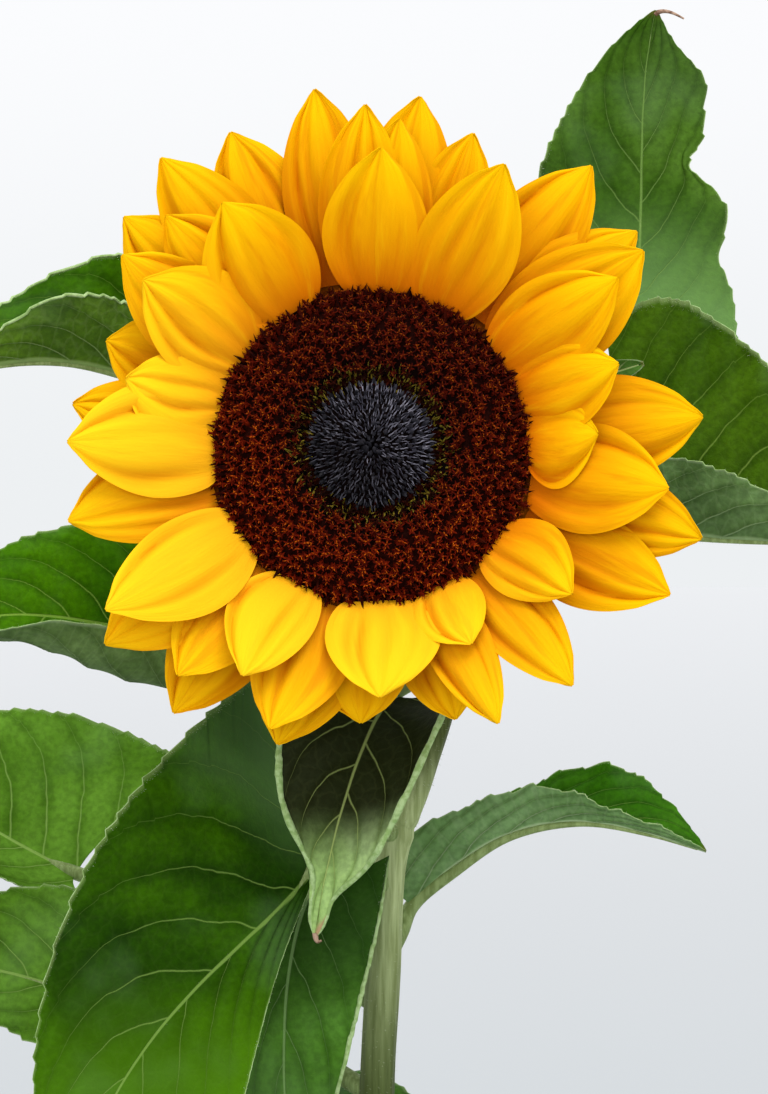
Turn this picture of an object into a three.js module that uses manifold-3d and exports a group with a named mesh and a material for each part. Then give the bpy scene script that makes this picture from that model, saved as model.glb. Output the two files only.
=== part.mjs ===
// A dwarf sunflower in bloom: stem and neck, a flower head of three whorls of rays
// round its disc, and broad leaves up the stem.
// Millimetres, +Z up. The origin is the middle of the flat cut under the stem, and the
// flower faces -Y.
import * as THREE from 'three';
import { mergeVertices } from 'three/addons/utils/BufferGeometryUtils.js';
import Module from 'manifold-3d';

const wasm = await Module();
wasm.setup();

// Clearance between pieces that touch.
const seat = 0.3;

// Stem: centreline, with the radius at each point. It widens to a root flare at the ground.
const stemPath = [
  [0, 0, 0, 9.5], [0, 0, 5, 8.2], [-0.4, 0.2, 14, 6.9], [-1.4, 0.8, 40, 6.3],
  [-3.0, 1.0, 110, 5.7], [-3.0, 0.6, 180, 5.1], [-1.8, 0, 243, 4.4], [-0.2, 0, 272, 4.1],
  [1.6, 0, 299, 3.9], [3.4, 0, 308, 3.9],
];

// Neck: from the last stem joint, out to the right and back, then forward into the head.
const neckPath = [
  [3.65, 0, 309, 3.8], [6.6, 0.6, 315, 3.5], [10.2, 2.5, 325, 3.4],
  [14.2, 5.5, 337, 3.4], [18.2, 8.5, 355, 3.4], [17.5, 8.5, 375, 3.5],
  [10.5, 3.5, 390, 3.7], [1.5, -9.5, 396, 4.2], [-3, -24, 397.5, 5.4], [-3, -30, 398, 5.9],
];

// Flower head: its own frame has +Z out of the disc, towards the viewer, and +Y up.
const headCentre = [-3, -48, 400];
const headTilt = THREE.MathUtils.degToRad(6);
const discRadius = 35.2;
const centreRadius = 14.4;
const dishRadius = 40.3;
const dishTop = -4.4;
const dishBack = -22;

// Each whorl: start radius and height of its rays, ring, first and last slope in degrees.
// A row is one ray: clock angle in degrees, reach of its tip from the middle, full width.
const whorls = [
  {
    name: 'rays_front', colour: '#ffb705', start: 36.0, height: 0.8, ringTo: 37.0,
    slope: 34, tipSlope: 20, cup: 1.8,
    rays: [
      [2, 66.4, 20.8], [26, 69.2, 20.0], [57, 66.8, 19.3], [73, 58.9, 18.7],
      [88, 51.8, 19.0], [128, 57.5, 16.5], [154, 51.8, 15.1], [178, 58.8, 22.2], [208, 61.2, 17.2],
      [236, 71.1, 19.4], [269, 68.4, 22.4], [284, 57.4, 19.8], [305, 63.2, 21.7],
      [328, 63.7, 23.1],
    ],
  },
  {
    name: 'rays_middle', colour: '#ffb300', start: 37.6, height: -1.1, ringTo: 38.5,
    slope: 24, tipSlope: 9, cup: 1.4,
    rays: [
      [5, 74.8, 17.2], [55, 76.1, 22.4], [99, 68.7, 22.0], [141, 72.1, 15.0],
      [156, 70.6, 12.7], [199, 69.5, 19.1], [219, 69.1, 18.3], [232, 75.9, 19.1],
      [255, 71.1, 18.4], [307, 71.4, 18.6], [318, 70.5, 18.6], [359, 77.6, 17.2],
    ],
  },
  {
    name: 'rays_back', colour: '#ffae00', start: 39.1, height: -3.0, ringTo: 40.0,
    slope: 13, tipSlope: 2, cup: 1.0,
    rays: [
      [8, 82.4, 19.3], [18, 76.8, 16.5], [38, 83.0, 19.7], [51, 79.1, 18.8],
      [85, 76.7, 20.8], [106, 78.8, 18.5], [117, 76.6, 19.4], [163, 66.0, 17.5],
      [182, 64.0, 20.7], [197, 72.1, 19.3], [216, 76.3, 19.3], [278, 69.4, 16.3],
      [292, 66.0, 19.7], [313, 78.3, 19.7], [324, 82.8, 19.7], [336, 80.4, 20.7],
      [351, 84.2, 18.4],
    ],
  },
];
const rayThickness = 0.8;
const lowerRayLift = 7;

// Green bracts behind the rays.
const bractCount = 15;
const bractReach = 62;
const bractWidth = 13;
const bractThickness = 1.0;

// Leaves. stalk: where it leaves the stem and, if it bends, a point on its way.
// rib: four points that the midrib passes, from the blade's base to its tip.
// face, tipFace: the way the upper side looks. half: greatest width left and right.
// fold and rim: degrees by which each half rises from the face, at the rib and its edge;
// tipFold: the same at the tip. heart: fullness of the lobes at the base. bulge: how near the base
// each half is widest. wave: ripple.
const leafThickness = 1.3;
const leaves = [
  {
    name: 'leaf_upper_right', colour: '#3f6b1c', stalk: [[17.5, 8.5, 366], [40, 30, 398]],
    rib: [[63, 50, 430], [67.5, 60, 459], [68.5, 64, 490], [71.6, 58, 518]],
    face: [0, -1, 0.2], tipFace: [0.1, -1, 0.1], half: [31, 23],
    fold: [6, 6], rim: [10, -4], heart: [0.16, 0.16], bulge: [0.8, 0.8], wave: 2.6,
  },
  {
    name: 'leaf_right', colour: '#33580f', stalk: [[18, 8.5, 352], [34, 9, 376]],
    rib: [[53, 5, 383], [75, 0, 379.5], [99, -5, 378], [124, -12, 378]],
    face: [-0.1, -1, 0.4], tipFace: [0.2, -1, 0.4], half: [60, 21],
    fold: [4, 110], rim: [10, 175], tipFold: [10, 100], heart: [0.14, 0.14], wave: 1.5,
  },
  {
    name: 'leaf_upper_left', colour: '#3d6a1a', stalk: [[14, 6, 383], [-10, 14, 399]],
    rib: [[-38, 12, 412], [-63, 5, 419], [-87, -4, 422], [-113, -10, 412]],
    face: [0, -1, 0.5], tipFace: [0, -1, 0.5], half: [22, 31],
    fold: [108, 5], rim: [172, 12], tipFold: [96, 10], heart: [0.12, 0.1], wave: 1.8,
  },
  {
    name: 'leaf_middle_left', colour: '#2f6a10', stalk: [[12.5, 4.5, 331], [-12, 9, 345]],
    rib: [[-44, 9, 354], [-70, 2, 358], [-94, -8, 360], [-121, -16, 350]],
    face: [0, -1, 0.4], tipFace: [0, -1, 0.5], half: [38, 26],
    fold: [-40, 5], rim: [165, 5], tipFold: [30, 10], heart: [0.1, 0.1], wave: 1.5,
  },
  {
    name: 'leaf_collar', colour: '#3b5e22', stalk: [[14, 5, 337], [11, -8, 346]],
    rib: [[2, -13, 341], [-5, -24, 329], [-11.5, -31, 309], [-16.3, -32, 285]],
    face: [0.1, -1, 0.25], tipFace: [-0.05, -1, 0.2], half: [25, 22],
    fold: [22, 14], rim: [90, 30], tipFold: [20, 20], heart: [0.12, 0.2], wave: 0.8,
  },
  {
    name: 'leaf_front_left', colour: '#2f5f0a', stalk: [[3.1, 0, 306], [-4, -11, 309.5]],
    rib: [[-15, -20, 303], [-33, -34, 284], [-57, -39, 258], [-75, -36, 214]],
    face: [0.05, -1, 0.3], tipFace: [0, -1, 0.2], half: [27, 45],
    fold: [-10, 4], rim: [-14, 16], heart: [0.02, 0.1], lobe: [0, 0.38],
    bulge: [2, 0.62], wave: 1.5,
  },
  {
    name: 'leaf_hanging', colour: '#2f5a26', stalk: [[1.2, 0, 292], [-5, -7, 299]],
    rib: [[-15, -10.5, 299], [-22.5, -14, 277], [-24, -14, 246], [-20.5, -10, 203]],
    face: [0.05, -1, 0.1], tipFace: [0.1, -1, 0.1], half: [20, 14],
    fold: [4, 4], rim: [8, 8], heart: [0.1, 0.04], lobe: [0.08, 0.1],
    bulge: [0.75, 0.75], wave: 1.2,
  },
  {
    name: 'leaf_lower_right', colour: '#4a7340', stalk: [[0.2, 0, 276]],
    rib: [[7, 8, 288], [33, 2, 307], [56, -6, 309], [78, -10, 303]],
    face: [0.1, -0.1, 1], tipFace: [0.3, -0.2, 1], half: [17.5, 21.5],
    fold: [26, 56], rim: [56, 94], tipFold: [34, 50], heart: [0.2, 0.5],
    lobe: [0, 0], bulge: [1.6, 0.4], wave: 1.0,
  },
  {
    name: 'leaf_back_left', colour: '#437325', stalk: [[-0.6, 0, 264], [-38, 38, 282]],
    rib: [[-81, 58, 291], [-102, 64, 301], [-123, 64, 313], [-146, 56, 325]],
    face: [0.1, -1, 0.5], tipFace: [0, -1, 0.6], half: [20, 41],
    fold: [10, 8], rim: [80, 6], heart: [0.1, 0.16], lobe: [0.3, 0.3], wave: 1.5,
  },
  {
    name: 'leaf_low_left', colour: '#3f6f22', stalk: [[-1.8, 0, 242], [-28, 18, 254]],
    rib: [[-57, 25, 261], [-83, 30, 265], [-109, 28, 271], [-137, 20, 266]],
    face: [0, -1, 0.4], tipFace: [0, -1, 0.5], half: [16, 27],
    fold: [-20, 8], rim: [-10, 8], heart: [0.1, 0.1], lobe: [0.3, 0.3], wave: 1.5,
  },
];

// Leaves by one rule: height on the stem, direction from +X in degrees, blade length.
const stemLeafColour = '#38661a';
const stemLeaves = [
  { name: 'leaf_back_high', height: 202, turn: 118, length: 104 },
  { name: 'leaf_stem_right', height: 208, turn: -22, length: 108 },
  { name: 'leaf_back_middle', height: 178, turn: 60, length: 108 },
  { name: 'leaf_stem_left', height: 164, turn: 188, length: 112 },
  { name: 'leaf_stem_front', height: 136, turn: -76, length: 110 },
  { name: 'leaf_stem_back_right', height: 122, turn: 34, length: 112 },
  { name: 'leaf_low_back', height: 84, turn: 128, length: 104 },
  { name: 'leaf_low_front', height: 66, turn: -128, length: 100 },
  { name: 'leaf_low_right', height: 54, turn: 2, length: 100 },
];

const vector = (p) => new THREE.Vector3(p[0], p[1], p[2]);
const radians = THREE.MathUtils.degToRad;
const mix = THREE.MathUtils.lerp;

// A closed geometry as a manifold solid.
function toSolid(geometry) {
  const bare = geometry.clone();
  bare.deleteAttribute('normal');
  bare.deleteAttribute('uv');
  const merged = mergeVertices(bare, 1e-4);
  return new wasm.Manifold(new wasm.Mesh({
    numProp: 3,
    vertProperties: new Float32Array(merged.attributes.position.array),
    triVerts: new Uint32Array(merged.index.array),
  }));
}

// The solid's largest piece, as a named mesh whose own origin is at the given point.
function toMesh(name, solid, colour, roughness, origin = [0, 0, 0]) {
  const pieces = solid.decompose().sort((a, b) => b.volume() - a.volume());
  const found = pieces[0].getMesh();
  const geometry = new THREE.BufferGeometry();
  geometry.setAttribute('position', new THREE.BufferAttribute(found.vertProperties, 3));
  geometry.setIndex(new THREE.BufferAttribute(found.triVerts, 1));
  geometry.translate(-origin[0], -origin[1], -origin[2]);
  geometry.computeVertexNormals();
  const material = new THREE.MeshStandardMaterial({ color: colour, roughness, metalness: 0 });
  const mesh = new THREE.Mesh(geometry, material);
  mesh.name = name;
  mesh.position.set(...origin);
  return mesh;
}

// A round limb through points that each carry a radius: a cylinder bent along the curve.
function limb(path, sides, steps, extra = 0) {
  const curve = new THREE.CatmullRomCurve3(path.map(vector), false, 'centripetal');
  const chord = vector(path[path.length - 1]).sub(vector(path[0])).normalize();
  const across = Math.abs(chord.x) < 0.8 ? new THREE.Vector3(1, 0, 0) : new THREE.Vector3(0, 1, 0);
  const geometry = new THREE.CylinderGeometry(1, 1, 1, sides, steps);
  const place = geometry.attributes.position;
  for (let i = 0; i < place.count; i += 1) {
    const u = THREE.MathUtils.clamp(place.getY(i) + 0.5, 0, 1);
    const along = u * (path.length - 1);
    const k = Math.min(Math.floor(along), path.length - 2);
    const radius = mix(path[k][3], path[k + 1][3], along - k) + extra;
    const centre = curve.getPoint(u);
    const tangent = curve.getTangent(u);
    const first = across.clone().addScaledVector(tangent, -across.dot(tangent)).normalize();
    const second = first.clone().cross(tangent);
    centre.addScaledVector(first, place.getX(i) * radius);
    centre.addScaledVector(second, place.getZ(i) * radius);
    place.setXYZ(i, centre.x, centre.y, centre.z);
  }
  return geometry;
}

// A thin closed blade: a flat box bent so that its middle follows surface(s, t), with s
// from base to tip and t from -1 at the right edge to 1 at the left.
function blade(surface, thickness, along, across) {
  const geometry = new THREE.BoxGeometry(1, 2, 1, along, across, 1);
  const place = geometry.attributes.position;
  const step = 0.004;
  for (let i = 0; i < place.count; i += 1) {
    const s = place.getX(i) + 0.5;
    const t = place.getY(i);
    const point = surface(s, t);
    const s0 = Math.min(s, 1 - step);
    const t0 = Math.min(t, 1 - step);
    const corner = surface(s0, t0);
    const alongS = surface(s0 + step, t0).sub(corner);
    const alongT = surface(s0, t0 + step).sub(corner);
    const normal = alongS.cross(alongT).normalize();
    point.addScaledVector(normal, place.getZ(i) * thickness);
    place.setXYZ(i, point.x, point.y, point.z);
  }
  return geometry;
}

// Ray: leaves its whorl's ring at the first slope and bends to the last one, a narrow
// claw widening to a long oval with a pointed tip, its edges raised towards the viewer.
function raySurface(whorl, [clock, reach, width], index) {
  const low = Math.max(0, -Math.cos(radians(clock))) * lowerRayLift;
  const from = radians(whorl.slope + low + 2 * Math.sin(index * 2.4));
  const to = radians(whorl.tipSlope + low);
  const run = (reach - whorl.start) * (to - from) / (Math.sin(to) - Math.sin(from));
  const twist = radians(6 * Math.sin(index * 1.7 + 1));
  return (s, t) => {
    const slope = mix(from, to, s);
    const out = whorl.start + run * (Math.sin(slope) - Math.sin(from)) / (to - from);
    const rise = whorl.height + run * (Math.cos(from) - Math.cos(slope)) / (to - from);
    const half = 0.5 * width * (0.5 * (1 - s) ** 3 + Math.sin(Math.PI * s ** 1.1) ** 0.8) + 0.25;
    const angle = radians(clock);
    const side = t * half * Math.cos(twist);
    const lift = rise + t * half * Math.sin(twist) * s + whorl.cup * t * t * Math.sin(Math.PI * s);
    return new THREE.Vector3(
      out * Math.sin(angle) - side * Math.cos(angle),
      out * Math.cos(angle) + side * Math.sin(angle),
      lift,
    );
  };
}

// Bract: a green spear that leans back from the edge of the dish.
function bractSurface(index) {
  const angle = (index / bractCount) * Math.PI * 2;
  const lean = radians(-5 + 3 * Math.sin(index * 2.1));
  return (s, t) => {
    const out = mix(dishRadius - 5, bractReach, s);
    const half = 0.5 * bractWidth * (1 - s) ** 0.7 * (0.75 + 0.5 * s) + 0.3;
    const lift = dishTop - 2.2 + (out - dishRadius) * Math.tan(lean) + 0.6 * t * t;
    return new THREE.Vector3(
      out * Math.sin(angle) - t * half * Math.cos(angle),
      out * Math.cos(angle) + t * half * Math.sin(angle),
      lift,
    );
  };
}

// A cubic curve through four points at equal steps.
function throughFour(points) {
  const [a, b, c, d] = points.map(vector);
  const second = a.clone().multiplyScalar(-5).addScaledVector(b, 18).addScaledVector(c, -9)
    .addScaledVector(d, 2).divideScalar(6);
  const third = a.clone().multiplyScalar(2).addScaledVector(b, -9).addScaledVector(c, 18)
    .addScaledVector(d, -5).divideScalar(6);
  return new THREE.CubicBezierCurve3(a, second, third, d);
}

// Leaf: heart-shaped, widest a third of the way up, each half an arc across the rib.
function leafSurface(leaf) {
  const curve = throughFour(leaf.rib);
  const tipFold = leaf.tipFold ?? leaf.fold;
  const sweep = leaf.lobe ?? [0.16, 0.16];
  const bulge = leaf.bulge ?? [0.62, 0.62];
  const length = curve.getLength();
  return (s, t) => {
    const point = curve.getPoint(s);
    const tangent = curve.getTangent(s);
    const face = vector(leaf.face).lerp(vector(leaf.tipFace), s);
    face.addScaledVector(tangent, -face.dot(tangent)).normalize();
    const right = tangent.clone().cross(face);
    const k = t > 0 ? 0 : 1;
    const first = radians(mix(leaf.fold[k], tipFold[k], s));
    const last = radians(mix(leaf.rim[k], tipFold[k], s * s));
    const bend = (last - first) || 1e-6;
    const swell = mix(leaf.heart[k], 1, s) ** bulge[k];
    const half = leaf.half[k] * Math.sin(Math.PI * swell) ** 0.9 + 0.4;
    const reach = Math.abs(t);
    const across = half * (Math.sin(first + bend * reach) - Math.sin(first)) / bend;
    const up = half * (Math.cos(first) - Math.cos(first + bend * reach)) / bend;
    const ripple = leaf.wave * t * t * Math.sin(Math.PI * s) * Math.sin(s * 13 + (t > 0 ? 0 : 2));
    point.addScaledVector(right, -Math.sign(t) * across);
    point.addScaledVector(face, up + ripple);
    point.addScaledVector(tangent, -sweep[k] * length * t * t * (1 - s) ** 3);
    return point;
  };
}

// Leaf solid: the blade joined to its stalk, cut clear of the stem and neck.
function leafMesh(leaf, cutter) {
  const curve = throughFour(leaf.rib);
  const base = leaf.rib[0];
  const into = curve.getPoint(0.12);
  const stalk = leaf.stalk.map((p, i) => [...p, 2.6 - 0.3 * i]);
  const first = leaf.stalk[0];
  const last = leaf.stalk[leaf.stalk.length - 1];
  stalk.push([mix(last[0], base[0], 0.55), mix(last[1], base[1], 0.55),
    mix(last[2], base[2], 0.45), 2.0]);
  stalk.push([...base, 1.9], [into.x, into.y, into.z, 1.4]);
  const solid = toSolid(blade(leafSurface(leaf), leafThickness, 8, 4))
    .add(toSolid(limb(stalk, 6, 5)))
    .subtract(cutter);
  return toMesh(leaf.name, solid, leaf.colour, 0.6, first);
}

// A leaf by the stem rule: the stalk climbs outwards, the blade arches over and hangs.
function stemLeaf({ name, height, turn, length }) {
  const angle = radians(turn);
  const centre = stemCentre(height);
  const at = (out, up, side = 0) => [
    centre.x + out * Math.cos(angle) - side * Math.sin(angle),
    centre.y + out * Math.sin(angle) + side * Math.cos(angle),
    height + up,
  ];
  const bow = 5 * Math.sin(turn);
  return {
    name,
    colour: stemLeafColour,
    stalk: [at(0, 0), at(14, 9)],
    rib: [at(32, 20), at(32 + length * 0.33, 27, bow), at(32 + length * 0.64, 20, bow),
      at(32 + length * 0.9, -4)],
    face: [-0.25 * Math.cos(angle), -0.25 * Math.sin(angle), 1],
    tipFace: [0.4 * Math.cos(angle), 0.4 * Math.sin(angle), 1],
    half: [length * 0.34, length * 0.34],
    fold: [14, 14],
    rim: [-4, -4],
    heart: [0.1, 0.1],
    wave: 2.0,
  };
}

function stemCentre(height) {
  const k = stemPath.findIndex((p) => p[2] > height) - 1;
  const share = (height - stemPath[k][2]) / (stemPath[k + 1][2] - stemPath[k][2]);
  return vector(stemPath[k]).lerp(vector(stemPath[k + 1]), share);
}

// A turned solid about the head's axis, from pairs of radius and height.
function turned(profile, segments) {
  const points = profile.map(([radius, height]) => new THREE.Vector2(radius, height));
  return new THREE.LatheGeometry(points, segments).rotateX(Math.PI / 2);
}

const plant = new THREE.Group();
plant.name = 'sunflower';

const head = new THREE.Group();
head.position.set(...headCentre);
head.rotation.x = Math.PI / 2 - headTilt;
plant.add(head);
head.updateMatrixWorld();

const neckEnd = turned([[0, dishBack - seat], [15, dishBack - seat], [15, 0], [0, 0]], 12);
const stemSolid = toSolid(limb(stemPath, 12, 18));
const neckSolid = toSolid(limb(neckPath, 10, 16))
  .subtract(toSolid(neckEnd.applyMatrix4(head.matrixWorld)));
plant.add(toMesh('stem', stemSolid, '#7d8b57', 0.6));
plant.add(toMesh('neck', neckSolid, '#75864c', 0.6));

const jointPath = [stemPath[8], stemPath[9], neckPath[1]];
const cutter = toSolid(limb(stemPath, 12, 18, seat))
  .add(toSolid(limb(jointPath, 12, 4, seat)))
  .add(toSolid(limb(neckPath, 10, 16, seat)));
for (const leaf of leaves) {
  plant.add(leafMesh(leaf, cutter));
}
for (const rule of stemLeaves) {
  plant.add(leafMesh(stemLeaf(rule), cutter));
}

const dishProfile = [
  [0, dishBack], [6.5, dishBack], [9, dishBack + 1], [17, dishBack + 5],
  [29, dishBack + 10.5], [37, dishTop - 3.4], [dishRadius, dishTop - 1.4],
  [dishRadius, dishTop], [0, dishTop],
];
const bracts = Array.from({ length: bractCount }, (_, i) => (
  toSolid(blade(bractSurface(i), bractThickness, 3, 2))
));
const dish = bracts.reduce((whole, part) => whole.add(part), toSolid(turned(dishProfile, 30)));
head.add(toMesh('receptacle', dish, '#5c7d33', 0.7));

for (const whorl of whorls) {
  const low = whorl.height - 0.8;
  const high = whorl.height + 0.8;
  const inner = discRadius + seat;
  const ring = toSolid(turned([
    [inner, low], [whorl.ringTo, low], [whorl.ringTo, high], [inner, high], [inner, low],
  ], 30));
  const solid = whorl.rays.reduce((whole, ray, i) => (
    whole.add(toSolid(blade(raySurface(whorl, ray, i), rayThickness, 6, 2)))
  ), ring);
  head.add(toMesh(whorl.name, solid, whorl.colour, 0.5));
}

const inner = centreRadius + seat;
const discProfile = [
  [inner, dishTop + seat], [discRadius, dishTop + seat], [discRadius, 2.2], [33, 4.2],
  [28, 5.6], [22, 5.6], [17, 4.2], [inner, 3.2], [inner, dishTop + seat],
];
head.add(toMesh('disc_florets', toSolid(turned(discProfile, 30)), '#2c0a05', 0.9));
const centreProfile = [
  [0, dishTop + seat], [centreRadius, dishTop + seat], [centreRadius, 3.2], [12.4, 5.0],
  [8.5, 6.6], [3.5, 7.2], [0, 6.2],
];
head.add(toMesh('disc_centre', toSolid(turned(centreProfile, 24)), '#2b2a36', 0.9));

export default plant;
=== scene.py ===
import math
from functools import partial

import bpy
import numpy as np
from mathutils import Matrix, Vector


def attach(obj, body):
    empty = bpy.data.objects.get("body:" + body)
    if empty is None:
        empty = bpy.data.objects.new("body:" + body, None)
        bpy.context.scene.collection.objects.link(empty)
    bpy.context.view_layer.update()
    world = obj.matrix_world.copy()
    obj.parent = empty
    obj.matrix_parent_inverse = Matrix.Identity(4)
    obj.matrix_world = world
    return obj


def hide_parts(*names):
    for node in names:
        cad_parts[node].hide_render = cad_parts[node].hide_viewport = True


# A dwarf sunflower in bloom, dressed over its solids. Tables are in millimetres, as in the
# part's source, and the meshes come out in metres.

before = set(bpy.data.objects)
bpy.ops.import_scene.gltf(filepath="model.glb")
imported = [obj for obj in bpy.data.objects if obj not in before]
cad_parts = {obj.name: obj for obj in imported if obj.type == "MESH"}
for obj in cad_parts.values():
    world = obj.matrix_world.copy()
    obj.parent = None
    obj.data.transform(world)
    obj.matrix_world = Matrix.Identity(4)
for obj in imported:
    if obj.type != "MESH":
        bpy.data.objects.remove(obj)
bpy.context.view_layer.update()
mm = 0.001

photo = {  # the photograph's frame and the view it was taken from
    "height": 1094,
    "mmPerPixel": 0.23,  # at the flower head
    "headDistance": 750,
    "headPlane": -50,
    "eyeHeight": 376.8,
}

# Small helpers

usual = {  # what a kind of node is set to when its call says nothing else
    "Mix": {"data_type": "RGBA"},
    "MapRange": {"interpolation_type": "SMOOTHSTEP"},
}


def toLinear(code):
    shares = [int(code[i:i + 2], 16) / 255 for i in (1, 3, 5)]
    linear = [v / 12.92 if v <= 0.04045 else ((v + 0.055) / 1.055) ** 2.4 for v in shares]
    return (*linear, 1.0)


def addNode(tree, kind, inputs=(), output=0, **settings):
    # Adds a node and gives one of its outputs, or all of them. Its kind may have an operation
    # behind it. An input, by place or by name, is a value, a colour code or another output.
    kind, *operation = kind.split()
    node = tree.nodes.new(kind if "Node" in kind else "ShaderNode" + kind)
    if operation:
        node.operation = operation[0]
    for name, value in {**usual.get(kind, {}), **settings}.items():
        setattr(node, name, value)
    for place, value in inputs.items() if isinstance(inputs, dict) else enumerate(inputs):
        if isinstance(value, bpy.types.NodeSocket):
            tree.links.new(value, node.inputs[place])
        else:
            isColour = isinstance(value, str) and value.startswith("#")
            node.inputs[place].default_value = toLinear(value) if isColour else value
    return node.outputs if output is None else node.outputs[output]


def addObject(name, data):
    thing = bpy.data.objects.new(name, data)
    bpy.context.scene.collection.objects.link(thing)
    return thing


def dress(piece, slot, node=None):
    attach(piece, "root")
    if node is not None:
        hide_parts(node)
    return piece


def smooth(low, high, value):
    share = np.clip((value - low) / (high - low), 0, 1)
    return share * share * (3 - 2 * share)


def blend(a, b, share):
    return a + (b - a) * share


def unit(vectors):
    return vectors / np.maximum(np.linalg.norm(vectors, axis=-1, keepdims=True), 1e-12)


def stacked(*parts):
    return np.stack(np.broadcast_arrays(*parts), -1)


def gridNormals(points):
    return unit(np.cross(np.gradient(points, axis=0), np.gradient(points, axis=1)))


def gridQuads(grid):
    # The four corners of each cell of a grid: point numbers, or places on the map.
    quads = np.stack([grid[:-1, :-1], grid[1:, :-1], grid[1:, 1:], grid[:-1, 1:]], 2)
    return quads.reshape(-1, 4, *grid.shape[2:])


class Shape:
    # A mesh in the making: quads and triangles with a slot, a map and marks on each point.
    def __init__(self):
        self.points, self.faces, self.slots, self.corners = [], [], [], []
        self.marks, self.hair, self.count = [], [], 0

    def add(self, points, faces, slot, corners, marks, hair):
        self.points.append(points)
        self.marks.append(np.broadcast_to(marks, (len(points), 3)))
        self.hair.append(np.broadcast_to(hair, len(points)))
        for block, uv, number in zip(faces, corners, np.broadcast_to(slot, len(faces))):
            self.faces += (block + self.count).tolist()
            self.corners.append(uv.reshape(-1, 2))
            self.slots += [int(number)] * len(block)
        self.count += len(points)

    def build(self, name, materials, turn=None):
        mesh = bpy.data.meshes.new(name)
        mesh.from_pydata((np.concatenate(self.points) * mm).tolist(), [], self.faces)
        for material in materials:
            mesh.materials.append(material)
        mesh.polygons.foreach_set("material_index", np.array(self.slots, dtype=np.int32))
        mesh.polygons.foreach_set("use_smooth", np.ones(len(self.faces), dtype=bool))
        layer = mesh.uv_layers.new(name="OFBake")  # the piece's own map
        layer.uv.foreach_set("vector", np.concatenate(self.corners).astype(np.float32).ravel())
        for label, kind, field, values in (("blade", "FLOAT_VECTOR", "vector", self.marks),
                                           ("hair", "FLOAT", "value", self.hair)):
            marks = mesh.attributes.new(label, kind, "POINT")
            marks.data.foreach_set(field, np.concatenate(values).astype(np.float32).ravel())
        if turn is not None:
            mesh.transform(turn)
        mesh.validate()
        mesh.set_sharp_from_angle(angle=math.radians(62))
        return addObject(name, mesh)


def bladeGrid(detail, power=4, least=0.15):
    # Shares along and across a blade, and its thickness, which falls off towards its sides.
    s = np.linspace(0, 1, detail["rows"])[:, None]
    t = np.linspace(-1, 1, detail["columns"] + 1)[None, :]
    fall = np.sqrt(np.maximum(1 - np.abs(t)**power, least))
    return s, t, detail["thickness"] * fall * np.ones_like(s)


def mapCells(index, across, down, low=0.0):
    # Where a blade's two skins lie on the map: the next two cells of a grid above low.
    wide, high = 1 / across, (1 - low) / down
    return [(wide * (cell % across + 0.03), low + high * (cell // across + 0.03),
             0.94 * wide, 0.94 * high) for cell in (2 * index, 2 * index + 1)]


def addBlade(shape, middle, s, t, marks, thickness, slots, boxes, edgeHair=0.0):
    # A closed thin blade round a grid of middle points: two skins joined by a narrow rim.
    rows, columns = middle.shape[:2]
    half = gridNormals(middle) * (0.5 * thickness)[..., None]
    count = rows * columns
    first = np.arange(count).reshape(rows, columns)
    loop = np.concatenate([first[0, :-1], first[:-1, -1], first[-1, :0:-1], first[:0:-1, 0]])
    after = np.roll(loop, -1)
    rim = np.stack([loop, after, after + count, loop + count], -1)
    maps = [stacked(x + wide * s, y + high * (0.5 + 0.5 * t)) for x, y, wide, high in boxes]
    flat = maps[0].reshape(-1, 2)
    rimMap = np.stack([flat[loop], flat[after], flat[after], flat[loop]], 1)
    marks = stacked(*marks).reshape(-1, 3)
    hair = np.where(np.abs(np.broadcast_to(t, (rows, columns))) > 0.999, edgeHair, 0).ravel()
    shape.add(
        np.concatenate([middle + half, middle - half]).reshape(-1, 3),
        [gridQuads(first), gridQuads(first + count)[:, ::-1], rim],
        [slots[0], slots[1], slots[0]],
        [gridQuads(maps[0]), gridQuads(maps[1])[:, ::-1], rimMap],
        np.concatenate([marks, marks]),
        np.concatenate([hair, 0 * hair]),
    )


def addRings(shape, rings, ends, slot, box, plan, hair):
    # A closed skin through rings of points, which a point at each end shuts.
    rows, sides = rings.shape[:2]
    numbers = np.arange(rows * sides).reshape(rows, sides)
    closed = np.concatenate([numbers, numbers[:, :1]], 1)
    after = np.roll(numbers[0], -1)
    tip = np.full(sides, rows * sides)
    base = np.stack([tip, numbers[0], after], -1)
    end = np.stack([tip + 1, after + numbers[-1, 0], numbers[-1]], -1)
    corner, size = np.array(box[:2]), np.array(box[2:])
    fan = np.broadcast_to(corner + 0.5 * size, (sides, 3, 2))
    shape.add(np.concatenate([rings.reshape(-1, 3), ends]), [gridQuads(closed), base, end],
              slot, [gridQuads(corner + size * plan), fan, fan], 0.0, hair)


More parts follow.
